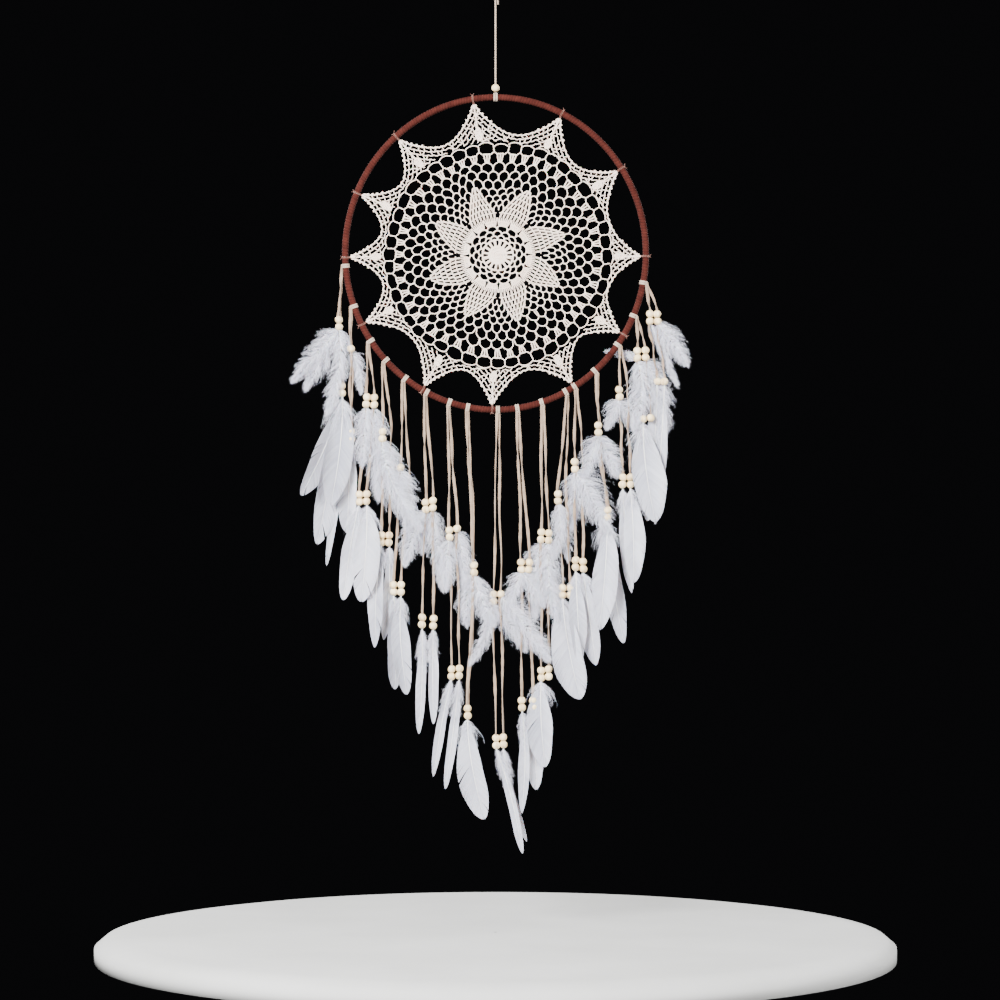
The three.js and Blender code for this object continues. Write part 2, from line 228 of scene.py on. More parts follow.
def add_tube(builder, points, radius, sides=8, lobes=0, depth=0.0, turns_per_metre=0.0, tone=0.5):
    """A round tube, or with lobes a plied thread whose strands wind round it."""
    points = np.asarray(points, float)
    along = lengths_along(points)
    first = tangents(points)[0]
    start = BACK if abs(first[1]) < 0.9 else np.array([1.0, 0, 0])
    u, v = carried_frames(points, start)
    angle = np.arange(sides) * 2 * math.pi / sides
    radius = np.broadcast_to(np.asarray(radius, float), (len(points),))
    phase = lobes * (angle[None, :] - 2 * math.pi * turns_per_metre * along[:, None])
    r = radius[:, None] * (1 + depth * np.cos(phase)) if lobes else np.repeat(radius[:, None], sides, 1)
    rings = (
        points[:, None, :]
        + r[..., None] * np.cos(angle)[None, :, None] * u[:, None, :]
        + r[..., None] * np.sin(angle)[None, :, None] * v[:, None, :]
    )
    lay = np.stack(np.broadcast_arrays(along[:, None] * 1000, angle[None, :]), -1)
    builder.grid(rings, lay=lay, tone=tone)


STRAP_PLACES = (-0.5, -0.44, -0.2, 0.0, 0.2, 0.44, 0.5)
STRAP_CROWN = 0.18
STRAP_EDGE = 0.62


def add_strap(builder, points, across, width, thickness, tone=0.5):
    """A flat lace with rounded edges; across is the direction of its width at each point."""
    points = np.asarray(points, float)
    along = lengths_along(points)
    t = tangents(points)
    across = unit(across - t * np.sum(across * t, 1, keepdims=True))
    out = np.cross(t, across)
    section = []
    for side in (1, -1):
        for x in STRAP_PLACES:
            lift = 0.5 * (STRAP_EDGE if abs(x) == 0.5 else 1 - STRAP_CROWN * (2 * x) ** 2 * 0.5)
            section.append((x * side, lift * side))
    section = np.array(section)
    width = np.broadcast_to(np.asarray(width, float), (len(points),))
    rings = (
        points[:, None, :]
        + (section[:, 0][None, :, None] * width[:, None, None]) * across[:, None, :]
        + (section[:, 1] * thickness)[None, :, None] * out[:, None, :]
    )
    lay = np.stack(np.broadcast_arrays(along[:, None] * 1000, section[:, 0][None, :] * 4), -1)
    builder.grid(rings, lay=lay, tone=tone)


# ---------------------------------------------------------------- materials

WHITE = (1, 1, 1)


def grey(level):
    return (level, level, level)


class Shading:
    """A material with one shader, and the few kinds of nodes that all the materials are made of."""

    def __init__(self, name, roughness, sheen=0.0, sheen_roughness=0.5, subsurface=0.0):
        self.material = bpy.data.materials.new(name)
        self.material.use_nodes = True
        self.nodes = self.material.node_tree.nodes
        self.links = self.material.node_tree.links
        self.shader = self.nodes["Principled BSDF"]
        self.set("Roughness", roughness)
        self.set("Sheen Weight", sheen)
        self.set("Sheen Roughness", sheen_roughness)
        if subsurface:
            self.set("Subsurface Weight", subsurface)
            self.set("Subsurface Scale", 0.003)

    def set(self, socket, value):
        self.shader.inputs[socket].default_value = value

    def wire(self, output, socket):
        self.links.new(output, self.shader.inputs[socket])

    def attribute(self, name, output):
        made = self.nodes.new("ShaderNodeAttribute")
        made.attribute_name = name
        return made.outputs[output]

    def mapped(self, source, kind, value):
        mapping = self.nodes.new("ShaderNodeMapping")
        mapping.inputs[kind].default_value = value
        self.links.new(source, mapping.inputs["Vector"])
        return mapping.outputs["Vector"]

    def noise(self, scale, detail, stretch=None):
        texture = self.nodes.new("ShaderNodeTexNoise")
        texture.inputs["Scale"].default_value = scale
        texture.inputs["Detail"].default_value = detail
        texture.inputs["Roughness"].default_value = 0.55
        source = self.nodes.new("ShaderNodeTexCoord").outputs["Object"]
        if stretch is not None:
            source = self.mapped(source, "Scale", stretch)
        self.links.new(source, texture.inputs["Vector"])
        return texture.outputs["Fac"]

    def ramp(self, factor, low, high, *others):
        """Colours between stops, each a place from 0 to 1 and a colour."""
        stops = (low, high, *others)
        made = self.nodes.new("ShaderNodeValToRGB")
        elements = made.color_ramp.elements
        while len(elements) < len(stops):
            elements.new(0.5)
        for element, (place, colour) in zip(elements, stops):
            element.position = place
            element.color = (*colour, 1)
        self.links.new(factor, made.inputs["Fac"])
        return made.outputs["Color"]

    def tinted(self, colour, factor, low, high, share):
        """The colour multiplied by a ramp's, as far as share says."""
        mix = self.nodes.new("ShaderNodeMix")
        mix.data_type = "RGBA"
        mix.blend_type = "MULTIPLY"
        mix.inputs[0].default_value = share
        self.links.new(colour, mix.inputs[6])
        self.links.new(self.ramp(factor, low, high), mix.inputs[7])
        return mix.outputs[2]

    def toned(self, colour, dark, light, share):
        """The colour multiplied from dark to light by the tone of each vertex."""
        return self.tinted(colour, self.attribute("tone", "Fac"), (0, dark), (1, light), share)

    def bump(self, height, strength, distance):
        bump = self.nodes.new("ShaderNodeBump")
        bump.inputs["Strength"].default_value = strength
        bump.inputs["Distance"].default_value = distance
        self.links.new(height, bump.inputs["Height"])
        self.wire(bump.outputs["Normal"], "Normal")


def suede(name, dark, light, nap, sheen=0.3):
    """Brushed leather: cloudy nap, fine fibres and a soft sheen."""
    m = Shading(name, 0.92, sheen, 0.45)
    m.set("Specular IOR Level", 0.12)
    colour = m.ramp(m.noise(160, 3), (0.3, dark), (0.7, light))
    fibres = m.noise(2600, 4)
    colour = m.tinted(colour, fibres, (0.3, grey(0.72)), (0.65, WHITE), 0.8)
    # The tone of each vertex darkens the colour: on the hoop it is painted shade between the turns, on the
    # laces it differs at random.
    colour = m.toned(colour, grey(0.7), WHITE, 0.9)
    m.wire(colour, "Base Color")
    m.bump(fibres, nap, 0.0004)
    return m.material


def cotton():
    """Mercerised cotton thread: cream, with plies that show as fine slanting lines, bumped and with painted
    shade in their grooves.
    """
    m = Shading("cotton_thread", 0.82, 0.35, 0.4, 0.05)
    colour = m.ramp(m.noise(45, 3), (0.3, (0.95, 0.75, 0.625)), (0.7, (1.0, 0.85, 0.74)))
    plies = m.nodes.new("ShaderNodeTexWave")
    plies.inputs["Scale"].default_value = 1.1
    plies.inputs["Distortion"].default_value = 0.6
    m.links.new(m.mapped(m.attribute("lay", "Vector"), "Rotation", (0, 0, 0.9)), plies.inputs["Vector"])
    lines = plies.outputs["Fac"]
    # Painted shade: the colour darkens where the ply lines' bump is low, in the grooves between plies.
    colour = m.tinted(colour, lines, (0.0, (0.78, 0.75, 0.72)), (0.55, WHITE), 0.7)
    colour = m.tinted(colour, m.noise(3800, 3), (0.3, (0.86, 0.85, 0.84)), (0.7, WHITE), 0.8)
    m.wire(colour, "Base Color")
    m.bump(lines, 0.5, 0.0003)
    return m.material


def bead_wood():
    """Unvarnished pale wood: lengthwise grain, pores and a slightly burnished surface."""
    m = Shading("bead_wood", 0.5)
    grain = m.noise(260, 5, (1, 1, 0.16))
    pores = m.noise(1800, 2, (1, 1, 0.12))
    dark, middle, pale = (0.58, 0.40, 0.20), (0.86, 0.70, 0.42), (0.97, 0.85, 0.57)
    colour = m.ramp(grain, (0.28, dark), (0.48, middle), (0.72, pale))
    colour = m.tinted(colour, pores, (0.34, (0.62, 0.5, 0.38)), (0.44, WHITE), 0.7)
    colour = m.toned(colour, (0.78, 0.72, 0.64), (1.06, 1.05, 1.03), 1.0)
    m.wire(colour, "Base Color")
    m.wire(m.ramp(grain, (0.3, grey(0.62)), (0.7, grey(0.42))), "Roughness")
    m.bump(pores, 0.25, 0.0003)
    return m.material


def feather_white(name, shade, roughness):
    """Bleached white feather: cool, silky and faintly mottled."""
    m = Shading(name, roughness, 0.2, 0.35, 0.12)
    dark = tuple(c * 0.93 for c in shade)
    colour = m.ramp(m.noise(70, 4), (0.3, dark), (0.7, shade))
    # The tone of each vertex darkens the colour: on the quill vanes it is partly random and partly painted
    # shade beside the shaft and painted rim light at the edge; in the down it differs at random from tuft to
    # tuft.
    colour = m.toned(colour, (0.62, 0.63, 0.68), WHITE, 1.0)
    m.wire(colour, "Base Color")
    m.bump(m.noise(2200, 2), 0.12, 0.0002)
    return m.material


def shaft_horn():
    """A feather's shaft: smooth and ivory."""
    m = Shading("feather_shaft", 0.38, 0.0, 0.5, 0.1)
    cloudy = m.noise(120, 3, (1, 1, 0.3))
    m.wire(m.ramp(cloudy, (0.3, (0.62, 0.61, 0.595)), (0.7, (0.72, 0.71, 0.70))), "Base Color")
    m.bump(m.noise(900, 2, (1, 1, 0.1)), 0.15, 0.0002)
    return m.material


def ring_steel():
    m = Shading("ring_steel", 0.4)
    m.set("Metallic", 1.0)
    scuffs = m.noise(300, 5)
    m.wire(m.ramp(scuffs, (0.3, (0.42, 0.42, 0.43)), (0.7, (0.62, 0.62, 0.64))), "Base Color")
    m.wire(m.ramp(scuffs, (0.3, grey(0.55)), (0.7, grey(0.32))), "Roughness")
    return m.material


def floor_paper():
    m = Shading("floor_paper", 0.8)
    m.wire(m.ramp(m.noise(6, 3), (0.3, (0.42, 0.42, 0.41)), (0.7, (0.47, 0.47, 0.46))), "Base Color")
    return m.material


HOOP_SUEDE = suede("hoop_suede", (0.037, 0.0060, 0.0040), (0.062, 0.0125, 0.0085), 0.5, sheen=0.0)
LACE_SUEDE = suede("lace_suede", (0.29, 0.198, 0.14), (0.385, 0.28, 0.20), 0.4)
KNOT_SUEDE = suede("knot_suede", (0.37, 0.28, 0.21), (0.47, 0.375, 0.295), 0.4)
TIE_SUEDE = suede("tie_thread", (0.15, 0.055, 0.04), (0.25, 0.12, 0.09), 0.3)
COTTON = cotton()
WOOD = bead_wood()
VANE = feather_white("quill_vane", (0.45, 0.445, 0.505), 0.5)
DOWN = feather_white("marabou_down", (0.77, 0.765, 0.84), 0.8)
SHAFT = shaft_horn()


def paint_core():
    """The ring inside the winding."""
    core = frame["nodes"]["hoop_core"].data
    core.materials.clear()
    core.materials.append(ring_steel())


FLOOR_SIDES = 96
FLOOR_PROFILE = [(0.002, 0), (0.46, 0), (0.488, -0.004), (0.5, -0.014), (0.5, -0.03), (0.002, -0.03)]


def make_floor():
    """A low round plinth top with a softened edge, in metres."""
    points = []
    for radius, drop in FLOOR_PROFILE:
        for angle in np.arange(FLOOR_SIDES) * 2 * math.pi / FLOOR_SIDES:
            points.append((radius * math.cos(angle), radius * math.sin(angle), FLOOR_Z + drop))
    faces = []
    for low in range(0, len(points) - FLOOR_SIDES, FLOOR_SIDES):
        high = low + FLOOR_SIDES
        for i in range(FLOOR_SIDES):
            j = (i + 1) % FLOOR_SIDES
            faces.append((low + i, high + i, high + j, low + j))
    mesh = bpy.data.meshes.new("floor")
    mesh.from_pydata(points, [], faces)
    mesh.polygons.foreach_set("use_smooth", [True] * len(mesh.polygons))
    mesh.materials.append(floor_paper())
    floor = bpy.data.objects.new("floor", mesh)
    bpy.context.scene.collection.objects.link(floor)


# ---------------------------------------------------------------- places, from the frame

WRAP_RADIUS = 3.95 * MM
wrap_low, wrap_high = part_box("hoop_wrap")
HOOP_CENTRE_Z = (wrap_low.z + wrap_high.z) / 2
HOOP_A = (wrap_high.x - wrap_low.x) / 2 - WRAP_RADIUS
HOOP_B = (wrap_high.z - wrap_low.z) / 2 - WRAP_RADIUS
JOINTS = {joint["name"]: joint for joint in frame["record"]["behaviour"]["joints"]}


def hoop_point(angle):
    return np.array([HOOP_A * math.cos(angle), 0, HOOP_CENTRE_Z + HOOP_B * math.sin(angle)])


def hoop_normal(angle):
    return unit(np.array([math.cos(angle) / HOOP_A, 0, math.sin(angle) / HOOP_B]))


def hoop_along(angle):
    """The direction in which the hoop's ring runs."""
    normal = hoop_normal(angle)
    return np.array([-normal[2], 0, normal[0]])


# ---------------------------------------------------------------- strands: places in millimetres

BEAD_RADIUS = 4.85
BEAD_PITCH = 9.1
COLUMN_PITCH = 9.5
LACE_WIDTH = 3.4
LACE_THICKNESS = 1.1

# From the left to the right. A bead group has its centre at x, z, its number of beads in each column, and
# sometimes its own column pitch. A feather reaches to x, z, has a width, and stands in front of its laces
# (below 0) or behind them (above 0) by that many layers.
STRANDS = [
    {"upper": (-196, -427, [2]), "plumes": [(-254, -500, 24, -1), (-238, -510, 24, 1), (-211, -541, 20, -2)],
     "lower": (-192, -511, [2]),
     "quills": [(-206, -655, 39, -2), (-243, -643, 30, -1), (-224, -704, 36, 1), (-212, -731, 11, 2)]},
    {"upper": (-181, -458, [1]), "plumes": [(-169, -514, 16, 1)],
     "lower": (-181, -566, [2]), "quills": [(-186, -690, 24, 2)]},
    {"upper": (-157, -525, [2, 2]), "plumes": [(-167, -605, 24, -1), (-147, -648, 26, 1)],
     "lower": (-166, -645, [2, 2]), "quills": [(-168, -776, 36, -1), (-191, -774, 22, 1)]},
    {"upper": (-137, -566, [2, 0]), "plumes": [(-94, -686, 34, -2), (-118, -645, 28, 1)],
     "lower": (-138, -697, [2, 2]), "quills": [(-151, -833, 22, -1), (-140, -824, 16, 1)]},
    {"upper": (-114, -609, [1, 0]), "plumes": [(-110, -687, 25, -1)],
     "lower": (-123, -760, [2, 2]), "quills": [(-126, -886, 20, 1), (-111, -892, 26, -1)]},
    {"upper": (-83, -655, [2, 2]), "plumes": [(-113, -730, 26, -1), (-66, -761, 22, 1), (-92, -715, 22, 2)],
     "lower": (-85, -801, [2, 2], 14), "quills": [(-78, -929, 13, -1), (-96, -942, 13, 1)]},
    {"upper": (-53, -690, [2, 1]), "plumes": [(-62, -762, 24, -1), (-38, -762, 24, 1)],
     "lower": (-50, -864, [2, 2]), "quills": [(-78, -995, 12, -1), (-63, -1011, 12, 1)]},
    {"upper": (-27, -735, [2]), "plumes": [(-36, -806, 24, 1), (-2, -806, 30, -1)],
     "lower": (-35, -913, [2]), "quills": [(-14, -1048, 33, -1)]},
    {"upper": (2, -772, [2, 1]), "plumes": [(-32, -854, 17, -1), (67, -849, 26, -2), (38, -838, 22, 1)],
     "lower": (5, -951, [2, 2]), "quills": [(34, -1091, 11, -1), (39, -1077, 9, 1)]},
    {"upper": (37, -731, [2, 2]), "plumes": [(14, -788, 18, -1), (85, -797, 30, 1), (60, -782, 25, -1)],
     "lower": (40, -904, [2, 2], 14), "quills": [(33, -1041, 14, -1), (51, -1012, 22, 1)]},
    {"upper": (62, -694, [2, 2]), "plumes": [(50, -796, 26, 1), (77, -798, 26, -1)],
     "lower": (62, -866, [2, 2]), "quills": [(62, -983, 33, -1)]},
    {"upper": (83, -645, [2, 0]), "plumes": [(73, -722, 18, -1), (91, -724, 17, 1)],
     "lower": (89, -762, [2, 2]), "quills": [(106, -898, 39, -1)]},
    {"upper": (104, -605, [2, 0]), "plumes": [(95, -686, 22, 1), (140, -688, 36, -1)],
     "lower": (105, -729, [2, 2]), "quills": [(106, -852, 24, -1), (126, -856, 26, 1)]},
    {"upper": (129, -560, [2]), "plumes": [(111, -619, 24, -1), (155, -619, 28, 1)],
     "lower": (140, -665, [2]), "quills": [(130, -811, 34, -1), (161, -828, 26, 1)]},
    {"upper": (160, -514, [2, 0]), "plumes": [(139, -559, 20, -1), (181, -565, 22, 1)],
     "lower": (164, -625, [2, 2]), "quills": [(171, -765, 15, 1), (173, -752, 28, -1)]},
    {"upper": (183, -466, [2, 2]), "plumes": [(174, -560, 28, -1), (210, -570, 28, 1), (138, -462, 9, 2)],
     "lower": (190, -546, [1, 1]), "quills": [(200, -676, 42, -1)]},
    {"upper": (198, -420, [2, 2]), "plumes": [(240, -480, 25, -1), (228, -506, 12, 1)],
     "lower": (207, -500, [1, 1]), "quills": [(190, -675, 30, 2), (200, -679, 16, 1)]},
]
LAYER = 3.2
NARROW_QUILL = 16


def column_x(group, i):
    x, _, beads, *pitch = group
    return x + (i - (len(beads) - 1) / 2) * (pitch[0] if pitch else COLUMN_PITCH)


def lace_x(group, i):
    return column_x(group, i) + (1 if group[2][i] == 0 else 0)


def group_end(group):
    return BEAD_PITCH * max(group[2]) / 2


def strand_name(index):
    return f"strand_{index + 1:02d}"


def strand_angle(index):
    """The hoop's angle at the strand's knot, from its hinge."""
    x, _, z = JOINTS[f"{strand_name(index)}_swing"]["pos_m"]
    return math.atan2((z - HOOP_CENTRE_Z) / HOOP_B, x / HOOP_A)


# ---------------------------------------------------------------- hanging cord and laces

CORD_RADIUS = 1.25 * MM
CORD_TURNS_PER_METRE = 150
EYE_HALF_WIDTH = 5.0
EYE_STRETCH = 1.5
EYE_BOTTOM = -18.75
CORD_BOTTOM = -136.6
KNOT_RADIUS = WRAP_RADIUS + 0.6 * MM
BIGHT_LEAN = 0.5
TAIL_PITCH = 2.4
FULL_TWIST_LENGTH = 0.55   # in metres; a shorter lace turns less


def add_cord(builder, points, share, sides, depth=0.2, tone=0.5):
    """A cord of two plies; share is the part of its full radius that it is drawn with."""
    add_tube(builder, points, CORD_RADIUS * share, sides, 2, depth, CORD_TURNS_PER_METRE, tone)


def hanging_cord():
    """The cord runs down from its knot; its loop above is a second piece of the same cord."""
    route = np.array([(0, 0, z) for z in np.linspace(EYE_BOTTOM, CORD_BOTTOM, 24)]) * MM
    builder = Builder()
    fine = resample(route, step=0.0006)
    add_cord(builder, fine, 0.8, 12, depth=0.12, tone=0.8)
    cord = builder.object("hanging_cord_plied", KNOT_SUEDE, "suspension")
    return cord, route


def hanging_eye():
    """The loop over the nail, and the overhand knot that closes it."""
    builder = Builder()
    angle = np.linspace(-math.pi / 2, 1.5 * math.pi, 120)
    x = EYE_HALF_WIDTH * np.cos(angle)
    z = EYE_BOTTOM / 2 + EYE_HALF_WIDTH * EYE_STRETCH * np.sin(angle)
    loop = np.stack([x, 0.5 * np.sin(angle / 2), z], 1) * MM
    add_cord(builder, loop, 0.9, 12, tone=0.8)
    turn = np.linspace(0, 2.6 * math.pi, 90)
    climb = EYE_BOTTOM - 2.6 + 5.0 * turn / turn[-1]
    knot = np.stack([1.9 * np.cos(turn), 1.7 * np.sin(turn), climb], 1) * MM
    add_cord(builder, knot, 0.95, 10, tone=0.75)
    tail = np.array([(1.2, -1.5, EYE_BOTTOM - 1), (2.6, -2.2, EYE_BOTTOM - 4), (3.2, -2.0, EYE_BOTTOM - 9)])
    add_cord(builder, smooth_route(tail * MM, 24), 0.8, 10)
    return builder.object("hanging_eye", KNOT_SUEDE, "suspension")


def tail_start(index, i):
    """Where a tail leaves the lark's head, under its bight."""
    angle = strand_angle(index)
    along = hoop_along(angle)
    along = along * np.sign(along[0] + 1e-6)
    way = math.cos(BIGHT_LEAN) * hoop_normal(angle) + math.sin(BIGHT_LEAN) * FRONT
    return hoop_point(angle) + way * (KNOT_RADIUS + 0.3 * MM) + along * (i - 0.5) * TAIL_PITCH * MM


def lace_route(index, i, count):
    """The route of one tail: down from the knot, through the upper beads and into the lower ones."""
    strand = STRANDS[index]
    upper, lower = strand["upper"], strand["lower"]
    tails = len(lower[2])
    column = min(i, tails - 1)
    side = i - 0.5
    start = tail_start(index, i) / MM
    spread = 0 if tails == 2 else side * 1.5
    above = group_end(upper) + 3
    over = group_end(lower)
    upper_x, lower_x = lace_x(upper, column), lace_x(lower, column)
    above_beads = np.array([upper_x + spread, 0, upper[1] + above])
    points = [
        start,
        start + (above_beads - start) * 0.12 + np.array([0, 0, -3.0]),
        above_beads,
        (upper_x + spread * 0.4, 0, upper[1]),
        (upper_x + spread, 0, upper[1] - above),
        (lower_x + spread, 0, lower[1] + over + 3),
        (lower_x + spread * 0.4, 0, lower[1] - over + 3),
    ]
    return smooth_route(np.array(points, float) * MM, count)


def make_lace(index, i):
    """One flat suede tail that turns slowly as it hangs."""
    name = strand_name(index)
    rng = np.random.default_rng(1000 + index * 2 + i)
    route = lace_route(index, i, 40)
    fine = resample(route, step=0.002)
    along = lengths_along(fine)
    share = along / along[-1]
    waves = share * rng.uniform(1.5, 3.5) + rng.random()
    waver = 1.1 * MM * np.sin(2 * math.pi * waves) * np.sin(math.pi * share)
    fine[:, 0] += waver
    fine[:, 1] += (i - 0.5) * 0.0009 + 0.5 * np.roll(waver, len(waver) // 3)
    turns = rng.uniform(2.0, 5.0) * rng.choice([-1, 1]) * max(along[-1] / FULL_TWIST_LENGTH, 0.4)
    sway = np.sin(2 * math.pi * share * rng.uniform(1.5, 4) + rng.uniform(0, 6))
    twist = math.pi * turns * share + 0.9 * sway
    across = np.stack([np.cos(twist), np.sin(twist), np.zeros_like(twist)], 1)
    builder = Builder()
    width = (LACE_WIDTH + 0.35 * np.sin(along * 130 + i) + 0.25 * np.sin(along * 410 + 2 * i)) * MM
    tone = 0.55 + 0.35 * rng.random()
    add_strap(builder, fine, across, width, LACE_THICKNESS * MM, tone=tone)
    lace = builder.object(f"lace_{index + 1:02d}_{'ab'[i]}", LACE_SUEDE, name)
    return lace, fine


# ---------------------------------------------------------------- knots


KNOT_THICKNESS = 0.8 * MM
BIGHT_WIDTH = 2.6 * MM
BIGHT_THICKNESS = 0.9 * MM


def lace_round_hoop(builder, angle, shift, width):
    """One turn of a lace round the hoop's tube, shifted along the tube."""
    along = hoop_along(angle)
    centre = hoop_point(angle) + along * shift
    turn = np.linspace(-0.4, 2 * math.pi - 0.3, 40)[:, None]
    points = centre + KNOT_RADIUS * (np.cos(turn) * hoop_normal(angle) + np.sin(turn) * FRONT)
    across = np.repeat(along[None], len(points), 0)
    add_strap(builder, points, across, width, KNOT_THICKNESS, tone=0.8)


def larks_head(angle, spread, width):
    """Two turns round the tube, and the bight that crosses over them in front."""
    builder = Builder()
    for side in (-1, 1):
        lace_round_hoop(builder, angle, side * spread, width)
    normal = hoop_normal(angle)
    along = hoop_along(angle)
    share = np.linspace(-1, 1, 24)[:, None]
    out = KNOT_RADIUS + 0.95 * MM - 0.75 * MM * share**2
    sweep = BIGHT_LEAN + 0.12 * share
    bight = hoop_point(angle) + along * share * (spread + width * 0.4)
    bight = bight + out * (np.cos(sweep) * normal + np.sin(sweep) * FRONT)
    lean = -math.sin(BIGHT_LEAN) * normal + math.cos(BIGHT_LEAN) * FRONT
    across = np.repeat(lean[None], len(bight), 0)
    add_strap(builder, bight, across, BIGHT_WIDTH, BIGHT_THICKNESS, tone=0.95)
    return builder


def strand_knot(index):
    """The lark's head that hangs one strand on the hoop."""
    builder = larks_head(strand_angle(index), 1.3 * MM, 2.3 * MM)
    knot = builder.object(f"knot_{index + 1:02d}", KNOT_SUEDE, strand_name(index))
    return knot


def hanging_knot():
    builder = larks_head(math.pi / 2, 1.4 * MM, 2.4 * MM)
    knot = builder.object("hanging_larks_head", KNOT_SUEDE, "hoop")
    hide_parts("hanging_knot")


# ---------------------------------------------------------------- beads


BEAD_BORE = 1.9
BEAD_SIDES = 28


def add_bead(builder, centre, rng):
    """A turned bead: round flanks, a small flat round each mouth, and its bore."""
    radius = BEAD_RADIUS * MM
    height = BEAD_PITCH * MM * 0.98
    bore = BEAD_BORE * MM
    profile = []
    for share in np.linspace(-1, 1, 19):
        z = share * height / 2
        flank = radius * math.sqrt(max(1 - (abs(share) ** 2.15) * 0.88, 0))
        profile.append((max(flank, bore * 1.15), z))
    lip = height / 2 * 0.97
    loop = [(bore, -lip), *profile, (bore, lip), (bore, 0)]
    angle = np.arange(BEAD_SIDES) * 2 * math.pi / BEAD_SIDES
    tilt = rng.normal(0, 0.05, 2)
    rings = []
    for r, z in loop + [loop[0]]:
        x, y = r * np.cos(angle), r * np.sin(angle)
        rings.append(np.stack([x, y, z + tilt[0] * x + tilt[1] * y], 1) + centre)
    builder.grid(np.array(rings), caps=False, tone=rng.uniform(0.2, 1.0))


def bead_group(index, which):
    group = STRANDS[index][which]
    beads = group[2]
    rng = np.random.default_rng(3000 + index * 2 + (which == "lower"))
    builder = Builder()
    for i, count in enumerate(beads):
        top = group[1] + group_end(group) + rng.uniform(-1.3, 1.3)
        for k in range(count):
            jitter = rng.normal(0, 0.35, 3) * (1, 1.6, 0)
            place = np.array([column_x(group, i), 0, top - BEAD_PITCH * (k + 0.5)]) + jitter
            add_bead(builder, place * MM, rng)
    piece = builder.object(f"beads_{index + 1:02d}_{which}", WOOD, strand_name(index))
    return piece


def hanging_bead():
    builder = Builder()
    low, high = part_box("hanging_bead")
    add_bead(builder, np.array((low + high) / 2), np.random.default_rng(77))
    bead = builder.object("hanging_bead_turned", WOOD, "hoop")
    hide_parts("hanging_bead")


# ---------------------------------------------------------------- hoop


LAP = 0.28


def hoop_winding():
    """The suede lace wound round the ring, each turn lapping a little over the last."""
    rng = np.random.default_rng(5)
    turns, per_turn, sides = 330, 9, 26
    n = turns * per_turn
    steps = np.arange(n)
    around_hoop = steps * 2 * math.pi / n
    swell = np.interp(steps, np.arange(0, n + per_turn, per_turn), rng.normal(0, 0.07, turns + 1))
    bunch = 5 * per_turn
    shift = np.interp(steps, np.arange(0, n + bunch, bunch), rng.normal(0, 0.16, turns // 5 + 1))
    centres = np.array([hoop_point(a) for a in around_hoop])
    normals = np.array([hoop_normal(a) for a in around_hoop])
    angle = np.arange(sides) * 2 * math.pi / sides
    phase = (steps[:, None] / per_turn + shift[:, None] - angle[None, :] / (2 * math.pi)) % 1
    lap = LAP * np.minimum(phase / 0.8, (1 - phase) / 0.2) - 0.12
    radius = WRAP_RADIUS + (lap + swell[:, None] * 0.6) * MM
    rings = (
        centres[:, None]
        + radius[..., None] * (np.cos(angle)[None, :, None] * normals[:, None])
        + radius[..., None] * np.sin(angle)[None, :, None] * FRONT
    )
    rings = np.concatenate([rings, rings[:1]])
    # The tone is painted shade and light: darker in the step between one turn and the next and on thinner
    # turns, lighter on raised, thicker ones.
    tone = np.clip(0.5 + 1.6 * (lap / LAP) + 1.8 * swell[:, None], 0, 1)
    tone = np.concatenate([tone, tone[:1]]).ravel()
    builder = Builder()
    builder.grid(rings, caps=False, tone=tone)
    winding = builder.object("hoop_winding", HOOP_SUEDE, "hoop")
    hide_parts("hoop_wrap")


# ---------------------------------------------------------------- doily, in millimetres about its centre

WEB_CENTRE = np.array([2.9, 0, -341.7])
TIP_ANGLES = [35, 65.6, 99.1, 130.6, 156.2, 180.8, 207, 240.7, 267.8, 299.9, 327.6, 359.5]
TIP_SHORT_OF_HOOP = 3.0
THREAD = 0.7
THREAD_TURNS_PER_METRE = 260
MESH_CELLS = 16
NET_CELLS = 48
PETALS = 8
SLOT_ANGLE = 1.0
PETAL_ROWS = [47, 53.4, 59.9, 66.4, 72.9, 79.4, 86]
GAP_ROWS = [56.5, 63.5, 71, 78.5, 86]
NET_ROWS = [86, 96.8, 107.8, 118.7]
CLUSTER_TOP = 128.2
HOLE_TOP = 142.5
HOLE_SLOPE = 3.0
HOLE_DIP = 3.0
BAR_PITCH = 7.2
EDGE_PITCH = 5.0
DISC_RINGS = [1.4, 3.4, 5.4, 7.4, 9.4]
CENTRE_ROWS = [(19.4, 24.6), (24.4, 30.6), (30.4, 37)]
CLUSTER_FOOT = 118.2
PICOT_PLACES = [0.07, 0.125, 0.18, 0.24, 0.76, 0.82, 0.875, 0.93]
HALF_ARCH = [(0.45, 0.88), (0.84, 0.66), (0.96, 0.34), (1, 0)]
ARCH = [(-x, z) for x, z in HALF_ARCH[::-1]] + [(0, 1)] + HALF_ARCH


def warped(radius, degrees):
    """The pull of the ties: rows waver, and one petal's point is drawn out further than the rest."""
    window = np.clip((radius - 48) / 30, 0, 1) * np.clip((152 - radius) / 14, 0, 1)
    a = np.radians(degrees)
    pull = 7 * np.exp(-(((degrees % 360) - 109) / 9) ** 2) * np.exp(-(((radius - 96) / 20) ** 2))
    slack = 1.8 * np.sin(2 * a + 0.6) + 1.4 * np.sin(5 * a + 2.1) + 0.9 * np.sin(9 * a + radius / 30)
    slack = slack + 0.5 * np.sin(17 * a + radius / 9)
    turn = 0.9 * np.sin(3 * a + radius / 25) + 0.7 * np.sin(7 * a + 1.0)
    return radius + (slack + pull) * window, degrees + turn * window


def polar(radius, degrees):
    radius, degrees = np.broadcast_arrays(np.asarray(radius, float), np.asarray(degrees, float))
    radius, degrees = warped(radius, degrees)
    a = np.radians(degrees)
    return WEB_CENTRE + np.stack([radius * np.cos(a), np.zeros_like(a), radius * np.sin(a)], -1)


def swirl(radius):
    """Trebles lean, so the petals turn a little as they go out."""
    return -5.5 * np.clip((radius - 45) / 42, 0, 1)


